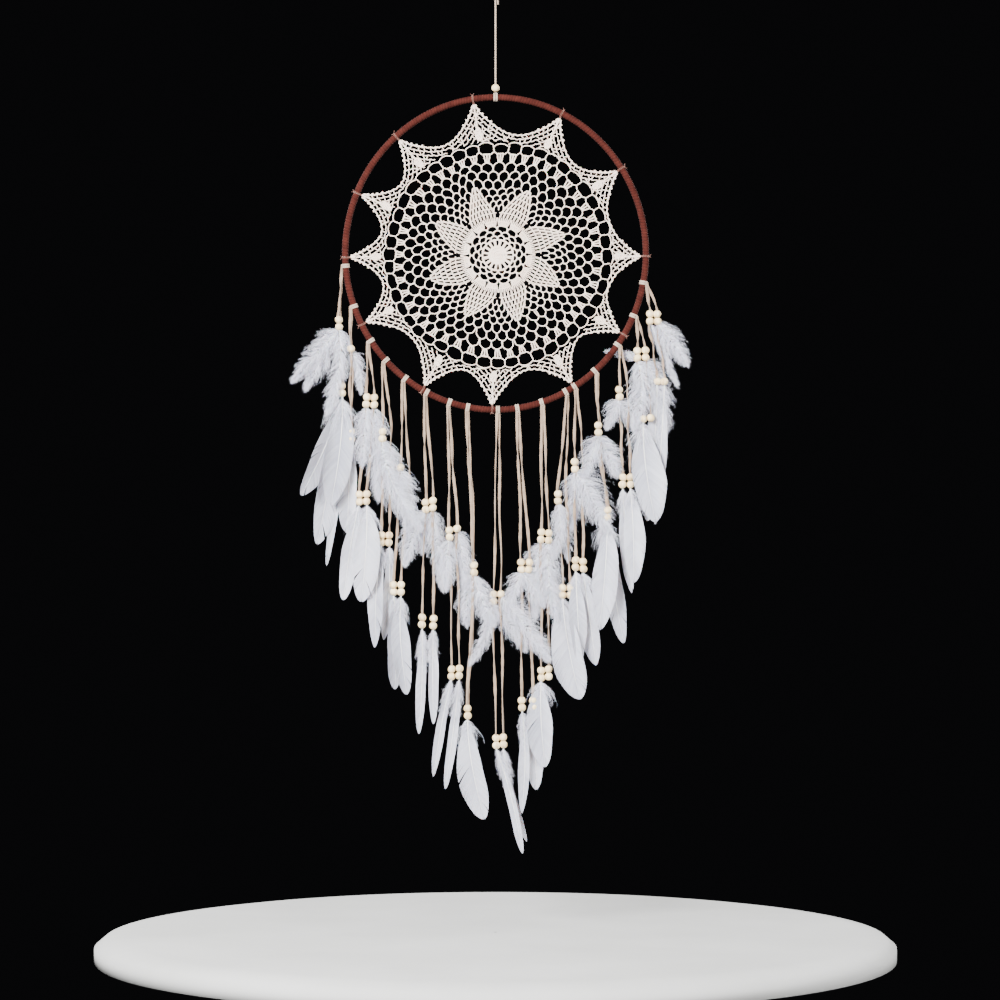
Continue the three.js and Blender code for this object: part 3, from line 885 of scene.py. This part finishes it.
def tip_length(degrees):
    """How far the doily's point reaches from its centre towards the hoop."""
    reach = np.linspace(150, 200, 321)
    p = polar(reach, degrees)
    inner_a = HOOP_A / MM - WRAP_RADIUS / MM - TIP_SHORT_OF_HOOP
    inner_b = HOOP_B / MM - WRAP_RADIUS / MM - TIP_SHORT_OF_HOOP
    inside = (p[:, 0] / inner_a) ** 2 + ((p[:, 2] - HOOP_CENTRE_Z / MM) / inner_b) ** 2 < 1
    return reach[inside][-1]


class Doily:
    def __init__(self):
        self.builder = Builder()
        self.rng = np.random.default_rng(42)

    def thread(self, points, radius=THREAD, knobs=0.13, knob_pitch=2.4, lift=0.0, tone=None):
        """A crocheted thread through points; knobs are its chain stitches."""
        line = resample(np.asarray(points, float), step=0.8)
        along = lengths_along(line)
        if along[-1] < 0.5:
            return
        line = line.copy()
        phase = self.rng.uniform(0, 6.3)
        line[:, 1] += lift + 0.25 * np.sin(along / 5 + phase) + self.rng.normal(0, 0.12)
        wide = radius * (1 + knobs * np.sin(2 * math.pi * along / knob_pitch + phase))
        ends = np.minimum(1, 0.6 + 0.5 * np.minimum(along, along[-1] - along))
        if tone is None:
            tone = self.rng.uniform(0.4, 0.9)
        add_tube(self.builder, line * MM, wide * ends * MM, 7, 3, 0.13, THREAD_TURNS_PER_METRE, tone)

    def ring(self, radius, thickness=THREAD, wobble=0.25, lift=0.0):
        degrees = np.linspace(0, 360, 361)
        waver = wobble * np.sin(np.radians(degrees) * 24 + self.rng.uniform(0, 6))
        self.thread(polar(radius + waver, degrees), thickness, lift=lift)

    def post(self, inner, outer, degrees, outer_degrees=None, thickness=THREAD, lift=0.0):
        outer_degrees = degrees if outer_degrees is None else outer_degrees
        share = np.linspace(0, 1, 6)
        line = polar(inner + (outer - inner) * share, degrees + (outer_degrees - degrees) * share)
        line[1:-1] += self.rng.normal(0, 0.12, (4, 3)) * (1, 0.4, 1)
        self.thread(line, thickness, knobs=0.16, knob_pitch=1.9, lift=lift)

    def arch(self, inner, outer, middle, half_width, thickness=THREAD):
        """A chain loop from the inner radius up to the outer one and back."""
        across, rise = np.array(ARCH).T
        drift = self.rng.normal(0, 0.35)
        lean = self.rng.normal(0, 0.35)
        degrees = middle + half_width * across + lean * rise
        line = smooth_route(polar(inner + (outer - inner + drift) * rise, degrees), 25)
        self.thread(line, thickness)
        self.thread(line[11:14], thickness * 1.45, knobs=0)


def petal_half_angle(radius):
    return np.clip((89.5 - radius) * 0.565, 0, 22.0)


def doily_centre(d):
    """A solid disc, a ring of slots, and three rows of wide flat cells."""
    for radius in DISC_RINGS:
        d.ring(radius, 1.2, 0.1, lift=0.25 * math.sin(radius))
    pitch = 360 / MESH_CELLS
    for k in range(MESH_CELLS):
        boundary = SLOT_ANGLE + (k + 0.5) * pitch
        for side in (-2.4, 2.4):
            d.post(10, 19, boundary + side + d.rng.normal(0, 0.8), thickness=0.95)
    d.ring(10.8, 1.1)
    d.ring(19.2, 1.1)
    for row, (inner, outer) in enumerate(CENTRE_ROWS):
        for k in range(MESH_CELLS):
            middle = SLOT_ANGLE + (k + 0.5 * ((row + 1) % 2)) * pitch + d.rng.normal(0, 0.8)
            d.arch(inner, outer, middle, pitch / 2, 0.85)


def doily_shells(d):
    """A fan of trebles over each of the outer cells, with a notch between fans."""
    pitch = 360 / MESH_CELLS
    for k in range(MESH_CELLS):
        middle = SLOT_ANGLE + (k + 0.5) * pitch
        for share in np.linspace(-1, 1, 8):
            d.post(37.2, 42.4, middle + share * 7.8, middle + share * 9.6, 0.8)
            d.post(42.2, 47, middle + share * 9.6, middle + share * 10.6, 0.76)
        for radius, half, thickness in ((37, 8, 1.1), (42.2, 9.8, 0.8)):
            d.thread(polar(radius, np.linspace(middle - half, middle + half, 14)), thickness, lift=-0.3)


def doily_petals(d):
    """Rows of paired trebles with a slit between the pairs, narrowing to eight points."""
    for row, (inner, outer) in enumerate(zip(PETAL_ROWS, PETAL_ROWS[1:])):
        half_low, half_high = petal_half_angle(inner - 0.6), petal_half_angle(outer - 0.6)
        mean = (half_low + half_high) / 2
        count = max(int(round(2 * mean * math.pi / 180 * (inner + outer) / 2 / 4.5)), 1)
        for petal in range(PETALS):
            low = SLOT_ANGLE + (petal + 0.5) * 45 + swirl(inner)
            high = SLOT_ANGLE + (petal + 0.5) * 45 + swirl(outer)
            degree = 180 / math.pi / ((inner + outer) / 2)
            for k in range(count):
                share = 2 * (k + 0.5) / count - 1 if count > 1 else 0
                for side in (-0.62, 0.62):
                    d.post(inner, outer, low + share * half_low * 0.96 + side * degree,
                           high + share * half_high * 0.96 + side * degree, 0.54)
            d.thread(polar(outer, np.linspace(high - half_high, high + half_high, 24)), 0.66, lift=-0.3)


def doily_net(d):
    """Staggered chain loops: they fill the gaps between the petals, then run all the way round."""
    for row, (inner, outer) in enumerate(zip(GAP_ROWS, GAP_ROWS[1:])):
        cells = row + 2
        mean = (inner + outer) / 2
        gap = 45 - 2 * petal_half_angle(mean)
        for petal in range(PETALS):
            axis = SLOT_ANGLE + petal * 45 + swirl(mean)
            for k in range(cells):
                middle = axis + gap * ((k + 0.5) / cells - 0.5)
                d.arch(inner, outer, middle, gap / cells / 2)
    pitch = 360 / NET_CELLS
    for row, (inner, outer) in enumerate(zip(NET_ROWS, NET_ROWS[1:])):
        for k in range(NET_CELLS):
            middle = SLOT_ANGLE + swirl(90) + (k + 0.5 * ((row + 1) % 2)) * pitch
            d.arch(inner, outer, middle + d.rng.normal(0, 0.3), pitch / 2)


def doily_clusters(d):
    """Three trebles that fan out on each loop, then a ring of large six-sided holes."""
    pitch = 360 / NET_CELLS
    arc = np.linspace(-1, 1, 9)
    tops = HOLE_TOP + d.rng.normal(0, 0.8, NET_CELLS)
    for k in range(NET_CELLS):
        middle = SLOT_ANGLE + swirl(90) + (k + 0.5) * pitch
        top = CLUSTER_TOP + d.rng.normal(0, 0.5)
        for side in (-1, 0, 1):
            d.post(CLUSTER_FOOT, top, middle + side * 0.85, middle + side * 1.75, 0.85)
        d.thread(polar(119.4, np.linspace(middle - 1.3, middle + 1.3, 6)), 0.95)
        d.thread(polar(top, np.linspace(middle - 2.1, middle + 2.1, 8)), 0.95)
        wall = middle + 0.5 * pitch + d.rng.normal(0, 0.25)
        d.thread(polar(top - 0.3 + HOLE_SLOPE * (1 - np.abs(arc) ** 1.4), wall + arc * 0.23 * pitch))
        d.post(top + HOLE_SLOPE - 0.3, HOLE_TOP - HOLE_DIP, wall, wall + d.rng.normal(0, 0.3))
        d.thread(polar(tops[k] - HOLE_DIP * np.abs(arc) ** 2.2, middle + arc * 0.5 * pitch))


def edge_side(tips, k):
    """The scalloped edge from one point of the doily to the next."""
    first, last = TIP_ANGLES[k], TIP_ANGLES[(k + 1) % 12]
    last = last + 360 if last < first else last
    share = np.linspace(0, 1, 120)
    share = share - 0.05 * np.sin(2 * math.pi * share)
    reach = tips[k] + (tips[(k + 1) % 12] - tips[k]) * share
    radius = reach * (1 - 0.195 * np.sin(math.pi * share) ** 0.72)
    blunt = 0.7 * (np.exp(-share / 0.04) - np.exp(-(1 - share) / 0.04))
    return first, last, polar(radius, first + (last - first) * share + blunt)


def offset_inward(line, first, last, distance):
    """The line moved towards the doily's centre, kept between the two points' axes and off the holes."""
    t = tangents(line)
    inward = np.stack([-t[:, 2], np.zeros(len(t)), t[:, 0]], 1)
    inward *= np.sign(np.sum(inward * (WEB_CENTRE - line), 1, keepdims=True))
    moved = line + inward * distance
    away = moved - WEB_CENTRE
    degrees = np.degrees(np.arctan2(away[:, 2], away[:, 0]))
    degrees = first - 90 + (degrees - first + 90) % 360
    kept = (degrees > first) & (degrees < last) & (np.linalg.norm(away, axis=1) > HOLE_TOP + 0.5)
    breaks = np.flatnonzero(np.diff(np.flatnonzero(kept)) > 1)
    return [part for part in np.split(moved[kept], breaks + 1) if len(part) > 3]


def resample_at(line, distance):
    along = lengths_along(line)
    return np.array([np.interp(distance, along, line[:, k]) for k in range(3)])


def edge_bars(d, outer, inner_lines, lag):
    """Short slanting bars from one row of the edge to the next, staggered from row to row."""
    inner = np.vstack(inner_lines)
    for at in np.arange(2.5 + lag * BAR_PITCH, lengths_along(outer)[-1] - 1.5, BAR_PITCH):
        start = resample_at(outer, at + d.rng.normal(0, 0.6))
        nearest = np.argmin(np.linalg.norm(inner - start, axis=1))
        end = inner[np.clip(nearest + d.rng.integers(-3, 4), 0, len(inner) - 1)]
        if np.linalg.norm(end - start) < EDGE_PITCH * 1.7:
            d.thread(np.array([start, end]), 0.62)


def sagging(line, lag, depth=1.1):
    """Chain loops between the bars: the line dips towards the doily's centre between them."""
    along = lengths_along(line)
    dip = depth * np.sin(math.pi * (along - 2.5 - lag * BAR_PITCH) / BAR_PITCH) ** 2
    return line + unit(WEB_CENTRE - line) * dip[:, None]


def doily_edge(d, tips):
    for k in range(12):
        first, last, edge = edge_side(tips, k)
        rows = [[edge]] + [offset_inward(edge, first, last, EDGE_PITCH * n) for n in range(1, 6)]
        for n, row in enumerate(rows):
            radius, knobs = (0.9, 0.25) if n == 0 else (0.62, 0.13)
            for line in row:
                d.thread(sagging(line, 0.5 * (n % 2)), radius, knobs=knobs)
        for n, (row, following) in enumerate(zip(rows, rows[1:])):
            for line in row:
                if following:
                    edge_bars(d, line, following, 0.5 * (n % 2))
        for share in PICOT_PLACES:
            picot(d, resample_at(edge, lengths_along(edge)[-1] * share))


def picot(d, place):
    """A small knot of three chain stitches that stands out from the edge."""
    outward = unit(place - WEB_CENTRE)
    across = np.array([-outward[2], 0, outward[0]])
    turn = np.linspace(0, 2 * math.pi, 12)[:, None]
    d.thread(place + outward * 0.8 * (1 - np.cos(turn)) + across * 0.9 * np.sin(turn), 1.05)


def doily_points(d, tips):
    """At the root of each point a solid fan of trebles, and at its end a bound tip."""
    for k, degrees in enumerate(TIP_ANGLES):
        for side in np.linspace(-1, 1, 5):
            d.post(146, 152, degrees + side * 0.7, degrees + side * 1.6, 0.85)
            d.post(152, 158, degrees + side * 1.6, degrees + side * 1.0, 0.85)
        for radius, half in ((146, 0.8), (152, 1.7), (158, 1.1)):
            d.thread(polar(radius, np.linspace(degrees - half, degrees + half, 8)), 0.9, lift=-0.4)
        d.post(158, tips[k] - 1, degrees, degrees, 0.95)
        d.thread(polar(np.linspace(tips[k] - 6, tips[k] + 0.6, 8), degrees), 1.7, knobs=0.1)


def make_doily():
    d = Doily()
    tips = [tip_length(degrees) for degrees in TIP_ANGLES]
    doily_centre(d)
    doily_shells(d)
    doily_petals(d)
    doily_net(d)
    doily_clusters(d)
    doily_edge(d, tips)
    doily_points(d, tips)
    doily = d.builder.object("doily", COTTON, "hoop")
    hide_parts("crochet_web")
    return doily, make_ties(tips)


TIE_SHIFTS = (-0.8, 0.0, 0.9)
TIE_SWEEP = 2.25
TIE_RADIUS = 0.24 * MM
TIE_KNOT_RADIUS = 0.35 * MM
TIE_END_RADIUS = 0.22 * MM


def tie_turns(builder, centre, normal, along, inner_end):
    """Three turns of the tie's thread, from the doily's tip round the hoop and back."""
    for shift in TIE_SHIFTS:
        turn = np.linspace(-TIE_SWEEP, TIE_SWEEP, 40)[:, None]
        loop = centre + (WRAP_RADIUS + 0.4 * MM) * (np.cos(turn) * normal + np.sin(turn) * FRONT)
        loop = loop + along * (shift + 0.5 * turn / TIE_SWEEP) * MM
        lead = [inner_end + along * shift * 0.4 * MM]
        add_tube(builder, resample(np.vstack([lead, loop, lead]), step=0.0008), TIE_RADIUS, 6)


def tie_knot(builder, knot, normal, along):
    for m in range(3):
        turn = np.linspace(0, 2 * math.pi, 16)[:, None]
        lean = unit(normal + FRONT * (m - 1))
        small = knot + (np.cos(turn) * along + np.sin(turn) * lean) * 0.8 * MM
        add_tube(builder, small, TIE_KNOT_RADIUS, 6)


def tie_ends(builder, knot, normal, along, rng):
    for side in (-1, 1):
        way = along * side * rng.uniform(1, 3) + normal * rng.uniform(1, 3) + FRONT * rng.uniform(0, 1)
        bend = along * side * rng.uniform(0, 1)
        whisker = np.array([knot, knot + way * 0.5 * MM, knot + (way + bend) * MM])
        add_tube(builder, smooth_route(whisker, 12), TIE_END_RADIUS, 5)


def make_ties(tips):
    """The fine thread that binds each point to the hoop: three turns, a knot and two short ends."""
    builder = Builder()
    rng = np.random.default_rng(9)
    for k, degrees in enumerate(TIP_ANGLES):
        tip = polar(tips[k], degrees)
        angle = math.atan2((tip[2] * MM - HOOP_CENTRE_Z) / HOOP_B, tip[0] * MM / HOOP_A)
        normal = hoop_normal(angle)
        along = hoop_along(angle)
        centre = hoop_point(angle)
        tie_turns(builder, centre, normal, along, tip * MM - normal * 2.5 * MM)
        knot = centre + (WRAP_RADIUS + 0.9 * MM) * unit(normal + 0.8 * FRONT)
        tie_knot(builder, knot, normal, along)
        tie_ends(builder, knot, normal, along, rng)
    ties = builder.object("doily_ties", TIE_SUEDE, "hoop")
    return ties


# ---------------------------------------------------------------- feathers


def add_ribbons(builder, lines, width, across, tone):
    """Thin ribbons, one for each row of lines (count, points, 3)."""
    count, m = lines.shape[:2]
    across = unit(across)
    half = (width / 2)[..., None] * across
    points = np.stack([lines - half, lines + half], 2)
    index = np.arange(count * m * 2).reshape(count, m, 2)
    faces = np.stack([index[:, :-1, 0], index[:, :-1, 1], index[:, 1:, 1], index[:, 1:, 0]], -1)
    tones = np.broadcast_to(np.asarray(tone, float).reshape(count, -1), (count, m)).repeat(2)
    along = np.repeat(np.linspace(0, 1, m)[None, :], count, 0)
    lay = np.stack([along[..., None].repeat(2, 2), np.broadcast_to(np.array([0.0, 1.0]), (count, m, 2))], -1)
    builder.add(points.reshape(-1, 3), faces.reshape(-1, 4), lay.reshape(-1, 2), tones)


class Feather:
    """The curved line of a shaft in metres, with a side and a face direction along it."""

    def __init__(self, base, tip, layer, rng, bow=0.05):
        base, tip = np.asarray(base, float), np.asarray(tip, float)
        s = np.linspace(0, 1, 60)
        self.s = s
        axis = tip - base
        self.length = np.linalg.norm(axis)
        sideways = unit(np.cross(axis, BACK))
        bend = rng.uniform(-bow, bow) * self.length
        hang = np.sin(np.pi * s**0.85)
        depth = layer * (1 - (1 - s) ** 2.2)
        bowed = base + axis * s[:, None] + sideways * (bend * hang)[:, None]
        self.points = bowed + BACK * depth[:, None]
        self.t = tangents(self.points)
        roll = rng.uniform(-0.35, 0.35) + rng.uniform(-0.3, 0.3) * s
        side = unit(np.cross(self.t, BACK))
        face = np.cross(side, self.t)
        self.side = np.cos(roll)[:, None] * side + np.sin(roll)[:, None] * face
        self.face = np.cross(self.side, self.t)

    def at(self, values, s):
        return np.stack([np.interp(s, self.s, values[:, k]) for k in range(3)], -1)


def shaft(builder, feather, thick, end):
    s = np.linspace(0, end, 40)
    points = feather.at(feather.points, s)
    radius = thick * (1 - 0.86 * s / end)
    add_tube(builder, points, radius, 8)


def vane_outline(s, blunt):
    """Half the vane's width, as a share, from its downy base to its rounded end."""
    rise = np.sin(math.pi / 2 * np.clip((s - 0.05) / 0.5, 0, 1)) ** 0.8
    fall = (1 - np.clip((s - 0.55) / 0.45, 0, 1) ** blunt) ** 0.6
    return rise * fall


def quill(vane, down, shafts, base, tip, width, layer, rng):
    """A goose quill feather: a shaft, two vanes of barbs that lie close with a few splits, a downy base."""
    f = Feather(base, tip, layer, rng, 0.035)
    shaft(shafts, f, 0.95 * MM, 0.975)
    narrow_side = rng.choice([-1, 1])
    blunt = rng.uniform(1.7, 2.9)
    ripple = rng.uniform(0, 6.3, 2)
    paleness = rng.uniform(0.28, 0.62)
    for side in (-1, 1):
        count = int(f.length * 0.92 / (0.5 * MM))
        s = np.linspace(0.07, 0.985, count)
        group = np.cumsum(rng.random(count) < 0.035)
        splits = rng.normal(0, 0.034, group.max() + 1)[group] * (0.4 + s)
        half = width / 2 * (0.86 if side == narrow_side else 1.1)
        lean = 0.78 - 0.30 * s + splits
        ahead = half / np.tan(lean) * np.minimum(1, (s / 0.25) ** 0.5)
        end = s + (1 - s) * (1 - np.exp(-ahead / f.length / (1 - s)))
        uneven = 1 + 0.035 * np.sin(14 * s + ripple[1] + 2 * side) + rng.normal(0, 0.012, count)
        reach = half * np.maximum(vane_outline(end, blunt), 0.05) * uneven
        v = np.linspace(0, 1, 8)
        out = reach[:, None] * v[None, :]
        forward = ((end - s) * f.length)[:, None] * (0.72 * v + 0.28 * v**2)[None, :]
        wave = 1.1 * MM * np.sin(9 * s + ripple[0] + side)[:, None] * v[None, :] ** 2
        cup = wave - 0.3 * out**2 / (width / 2) + 6 * MM * splits[:, None] * v[None, :] ** 2
        p = f.at(f.points, s)[:, None]
        lines = p + side * out[..., None] * f.at(f.side, s)[:, None]
        lines = lines + forward[..., None] * f.at(f.t, s)[:, None] + cup[..., None] * f.at(f.face, s)[:, None]
        ribbon = np.broadcast_to(0.72 * MM * (1 - 0.45 * v**2)[None, :], out.shape)
        across = np.broadcast_to(f.at(f.t, s)[:, None] - 0.6 * side * f.at(f.side, s)[:, None], lines.shape)
        clump = np.cumsum(rng.random(count) < 0.22)
        tone = paleness + 0.3 * rng.random(count) + 0.1 * side + 3.0 * splits
        tone = tone + rng.normal(0, 0.13, clump.max() + 1)[clump]
        # Painted shade darkens the barbs beside the shaft, and painted rim light brightens them towards the
        # vane's edge.
        tone = tone[:, None] - 0.45 * np.exp(-v / 0.14) + 0.25 * v**3
        add_ribbons(vane, lines, ribbon, across, np.clip(tone, 0.0, 1))
    narrow = width < NARROW_QUILL * MM
    downy = 0.36 if narrow else 0.2
    fluff(down, f, 0.02, downy, int(400 * downy), max(width * 0.55, 8 * MM), rng)
    fluff(down, f, 0.02, 0.16, 40, width * 0.35, rng, 2.0)


def plume_outline(s):
    """Half a plume's width, as a share, along its shaft: quick to fill out, rounded at its end."""
    return np.minimum(1, 0.5 + 2.4 * s) * (1 - np.clip((s - 0.4) / 0.63, 0, 1) ** 1.8) ** 0.6


def fluff(builder, f, first, last, count, reach, rng, broad=1.0):
    """Soft wavy barbs in loose tufts that stand out round a shaft and lean to its tip."""
    m = 12
    v = np.linspace(0, 1, m)
    s = np.sort(rng.uniform(first, last, count))
    side = np.where(rng.random(count) < 0.5, -1.0, 1.0)
    tuft = 2 * np.cumsum(rng.random(count) < 0.1) + (side > 0)
    tufts = rng.normal(0, 1, (3, tuft.max() + 1))[:, tuft]
    tilt = rng.normal(0, 0.4, count) + 0.45 * tufts[0]
    sideways = (side * np.cos(tilt))[:, None] * f.at(f.side, s)
    out_way = sideways + 0.42 * np.sin(tilt)[:, None] * f.at(f.face, s)
    free = reach * rng.uniform(0.5, 1.05, count) * np.where(rng.random(count) < 0.05, 1.25, 1.0)
    push = (free * np.clip(rng.uniform(0.35, 1.25, count) + 0.25 * tufts[1], 0.2, 2.0) + 2.5 * MM) / f.length
    end = s + (1.0 - s) * (1 - np.exp(-push / (1.0 - s))) + rng.uniform(-0.01, 0.05, count)
    local = (s - first) / max(last - first, 1e-6)
    end_share = end if last > 0.5 else np.minimum(local, 1)
    span = free * plume_outline(np.clip(end_share, 0, 1.05)) * (1 + 0.12 * tufts[2])
    p = f.at(f.points, s)[:, None]
    out = span[:, None] * (1 - (1 - v) ** 1.5)[None, :]
    forward = ((end - s) * f.length)[:, None] * (0.4 * v + 0.6 * v**2)[None, :]
    lines = p + out[..., None] * out_way[:, None] + forward[..., None] * f.at(f.t, s)[:, None]
    waves = rng.uniform(0.5, 1.8, count)[:, None]
    phase = rng.uniform(0, 6.3, (2, count, 1))
    size = (0.75 * MM * v**0.8)[None, :]
    wiggle = size * np.sin(2 * math.pi * waves * v[None, :] + phase[0])
    wobble = size * np.cos(2 * math.pi * waves * 0.8 * v[None, :] + phase[1])
    lines = lines + wiggle[..., None] * f.at(f.side, s)[:, None]
    lines = lines + wobble[..., None] * f.at(f.face, s)[:, None]
    width = np.broadcast_to((0.34 * MM * broad * (1 - 0.75 * v))[None, :], (count, m))
    across = np.cross(np.gradient(lines, axis=1), rng.normal(0, 1, (count, 1, 3)))
    tone = np.clip(rng.uniform(0.55, 1.0, count) + 0.14 * tufts[1], 0.1, 1)
    add_ribbons(builder, lines, width, across, tone)
    barbules(builder, lines, rng, tone)


BARBULES = 34


def barbules(builder, lines, rng, tone):
    """The finest hairs, which stand off each barb and lean to its end."""
    count, m = lines.shape[:2]
    per = BARBULES
    u = rng.uniform(0.08, 1.0, (count, per)) * (m - 1)
    low = np.minimum(u.astype(int), m - 2)
    part = (u - low)[..., None]
    rows = np.arange(count)[:, None]
    start = lines[rows, low] * (1 - part) + lines[rows, low + 1] * part
    way = unit(lines[rows, low + 1] - lines[rows, low])
    spread = unit(np.cross(way, rng.normal(0, 1, (count, per, 3))))
    size = rng.uniform(1.0, 2.6, (count, per, 1)) * MM
    middle = start + (spread * 0.55 + way * 0.35) * size
    end = start + (spread * 0.8 + way * 1.1) * size
    hairs = np.stack([start, middle, end], 2).reshape(count * per, 3, 3)
    width = np.broadcast_to(np.array([0.10, 0.07, 0.02]) * MM, (count * per, 3))
    across = np.cross(hairs[:, 1:2] - hairs[:, :1], rng.normal(0, 1, (count * per, 1, 3)))
    add_ribbons(builder, hairs, width, np.broadcast_to(across, hairs.shape), np.repeat(tone, per))


def plume(down, shafts, base, tip, width, layer, rng):
    """A marabou plume: a hair-thin shaft lost in down, close near the shaft and loose at its rim."""
    f = Feather(base, tip, layer, rng, 0.09)
    shaft(shafts, f, 0.45 * MM, 0.8)
    per_metre = f.length * (0.7 + width / (30 * MM))
    fluff(down, f, 0.0, 0.97, int(2300 * per_metre), width * 0.68, rng)
    fluff(down, f, 0.0, 0.95, int(1700 * per_metre), width * 0.34, rng, 2.2)


def feather_base(group, order, total):
    """The mouth of the bead column that a feather hangs from."""
    filled = [i for i, n in enumerate(group[2]) if n]
    i = filled[0] if len(filled) == 1 or order < total / 2 else filled[-1]
    bottom = group[1] + group_end(group) - BEAD_PITCH * group[2][i]
    return np.array([column_x(group, i), 0, bottom + 1.5])


def strand_feathers(index):
    strand = STRANDS[index]
    name = strand_name(index)
    rng = np.random.default_rng(7000 + index)
    for which, kind in (("upper", "plumes"), ("lower", "quills")):
        vane, down, shafts = Builder(), Builder(), Builder()
        feathers = sorted(strand[kind])
        for order, (x, z, width, layer) in enumerate(feathers):
            base = feather_base(strand[which], order, len(feathers))
            base[1] = 0.8 * layer
            tip = np.array([x, base[1], z])
            placed = (down, shafts, base * MM, tip * MM, width * MM, layer * LAYER * MM, rng)
            if kind == "quills":
                quill(vane, *placed)
            else:
                plume(*placed)
        tassel = f"{name}_{which}_tassel"
        bundle = f"{kind}_{index + 1:02d}"
        pieces = [(down, f"{bundle}_down", DOWN), (shafts, f"{bundle}_shafts", SHAFT)]
        if kind == "quills":
            pieces.insert(0, (vane, f"{bundle}_vanes", VANE))
        for n, (builder, piece_name, material) in enumerate(pieces):
            piece = builder.object(piece_name, material, name, smooth=False)
            if n == 0:
                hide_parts(tassel)


# ---------------------------------------------------------------- putting it together


def make_cords():
    cord, route = hanging_cord()
    eye = hanging_eye()
    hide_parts("hanging_cord")
    laces = [[make_lace(index, i) for i in (0, 1)] for index in range(len(STRANDS))]
    for index, pair in enumerate(laces):
        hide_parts(f"{strand_name(index)}_lace")
    return (cord, eye, route), laces


make_camera()
hanging, laces = make_cords()
make_floor()
make_lights()
paint_core()
hoop_winding()
doily, ties = make_doily()
hanging_knot()
hanging_bead()
for index in range(len(STRANDS)):
    strand_knot(index)
    strand_feathers(index)
for index in range(len(STRANDS)):
    bead_group(index, "upper")
lower_beads = [bead_group(index, "lower") for index in range(len(STRANDS))]
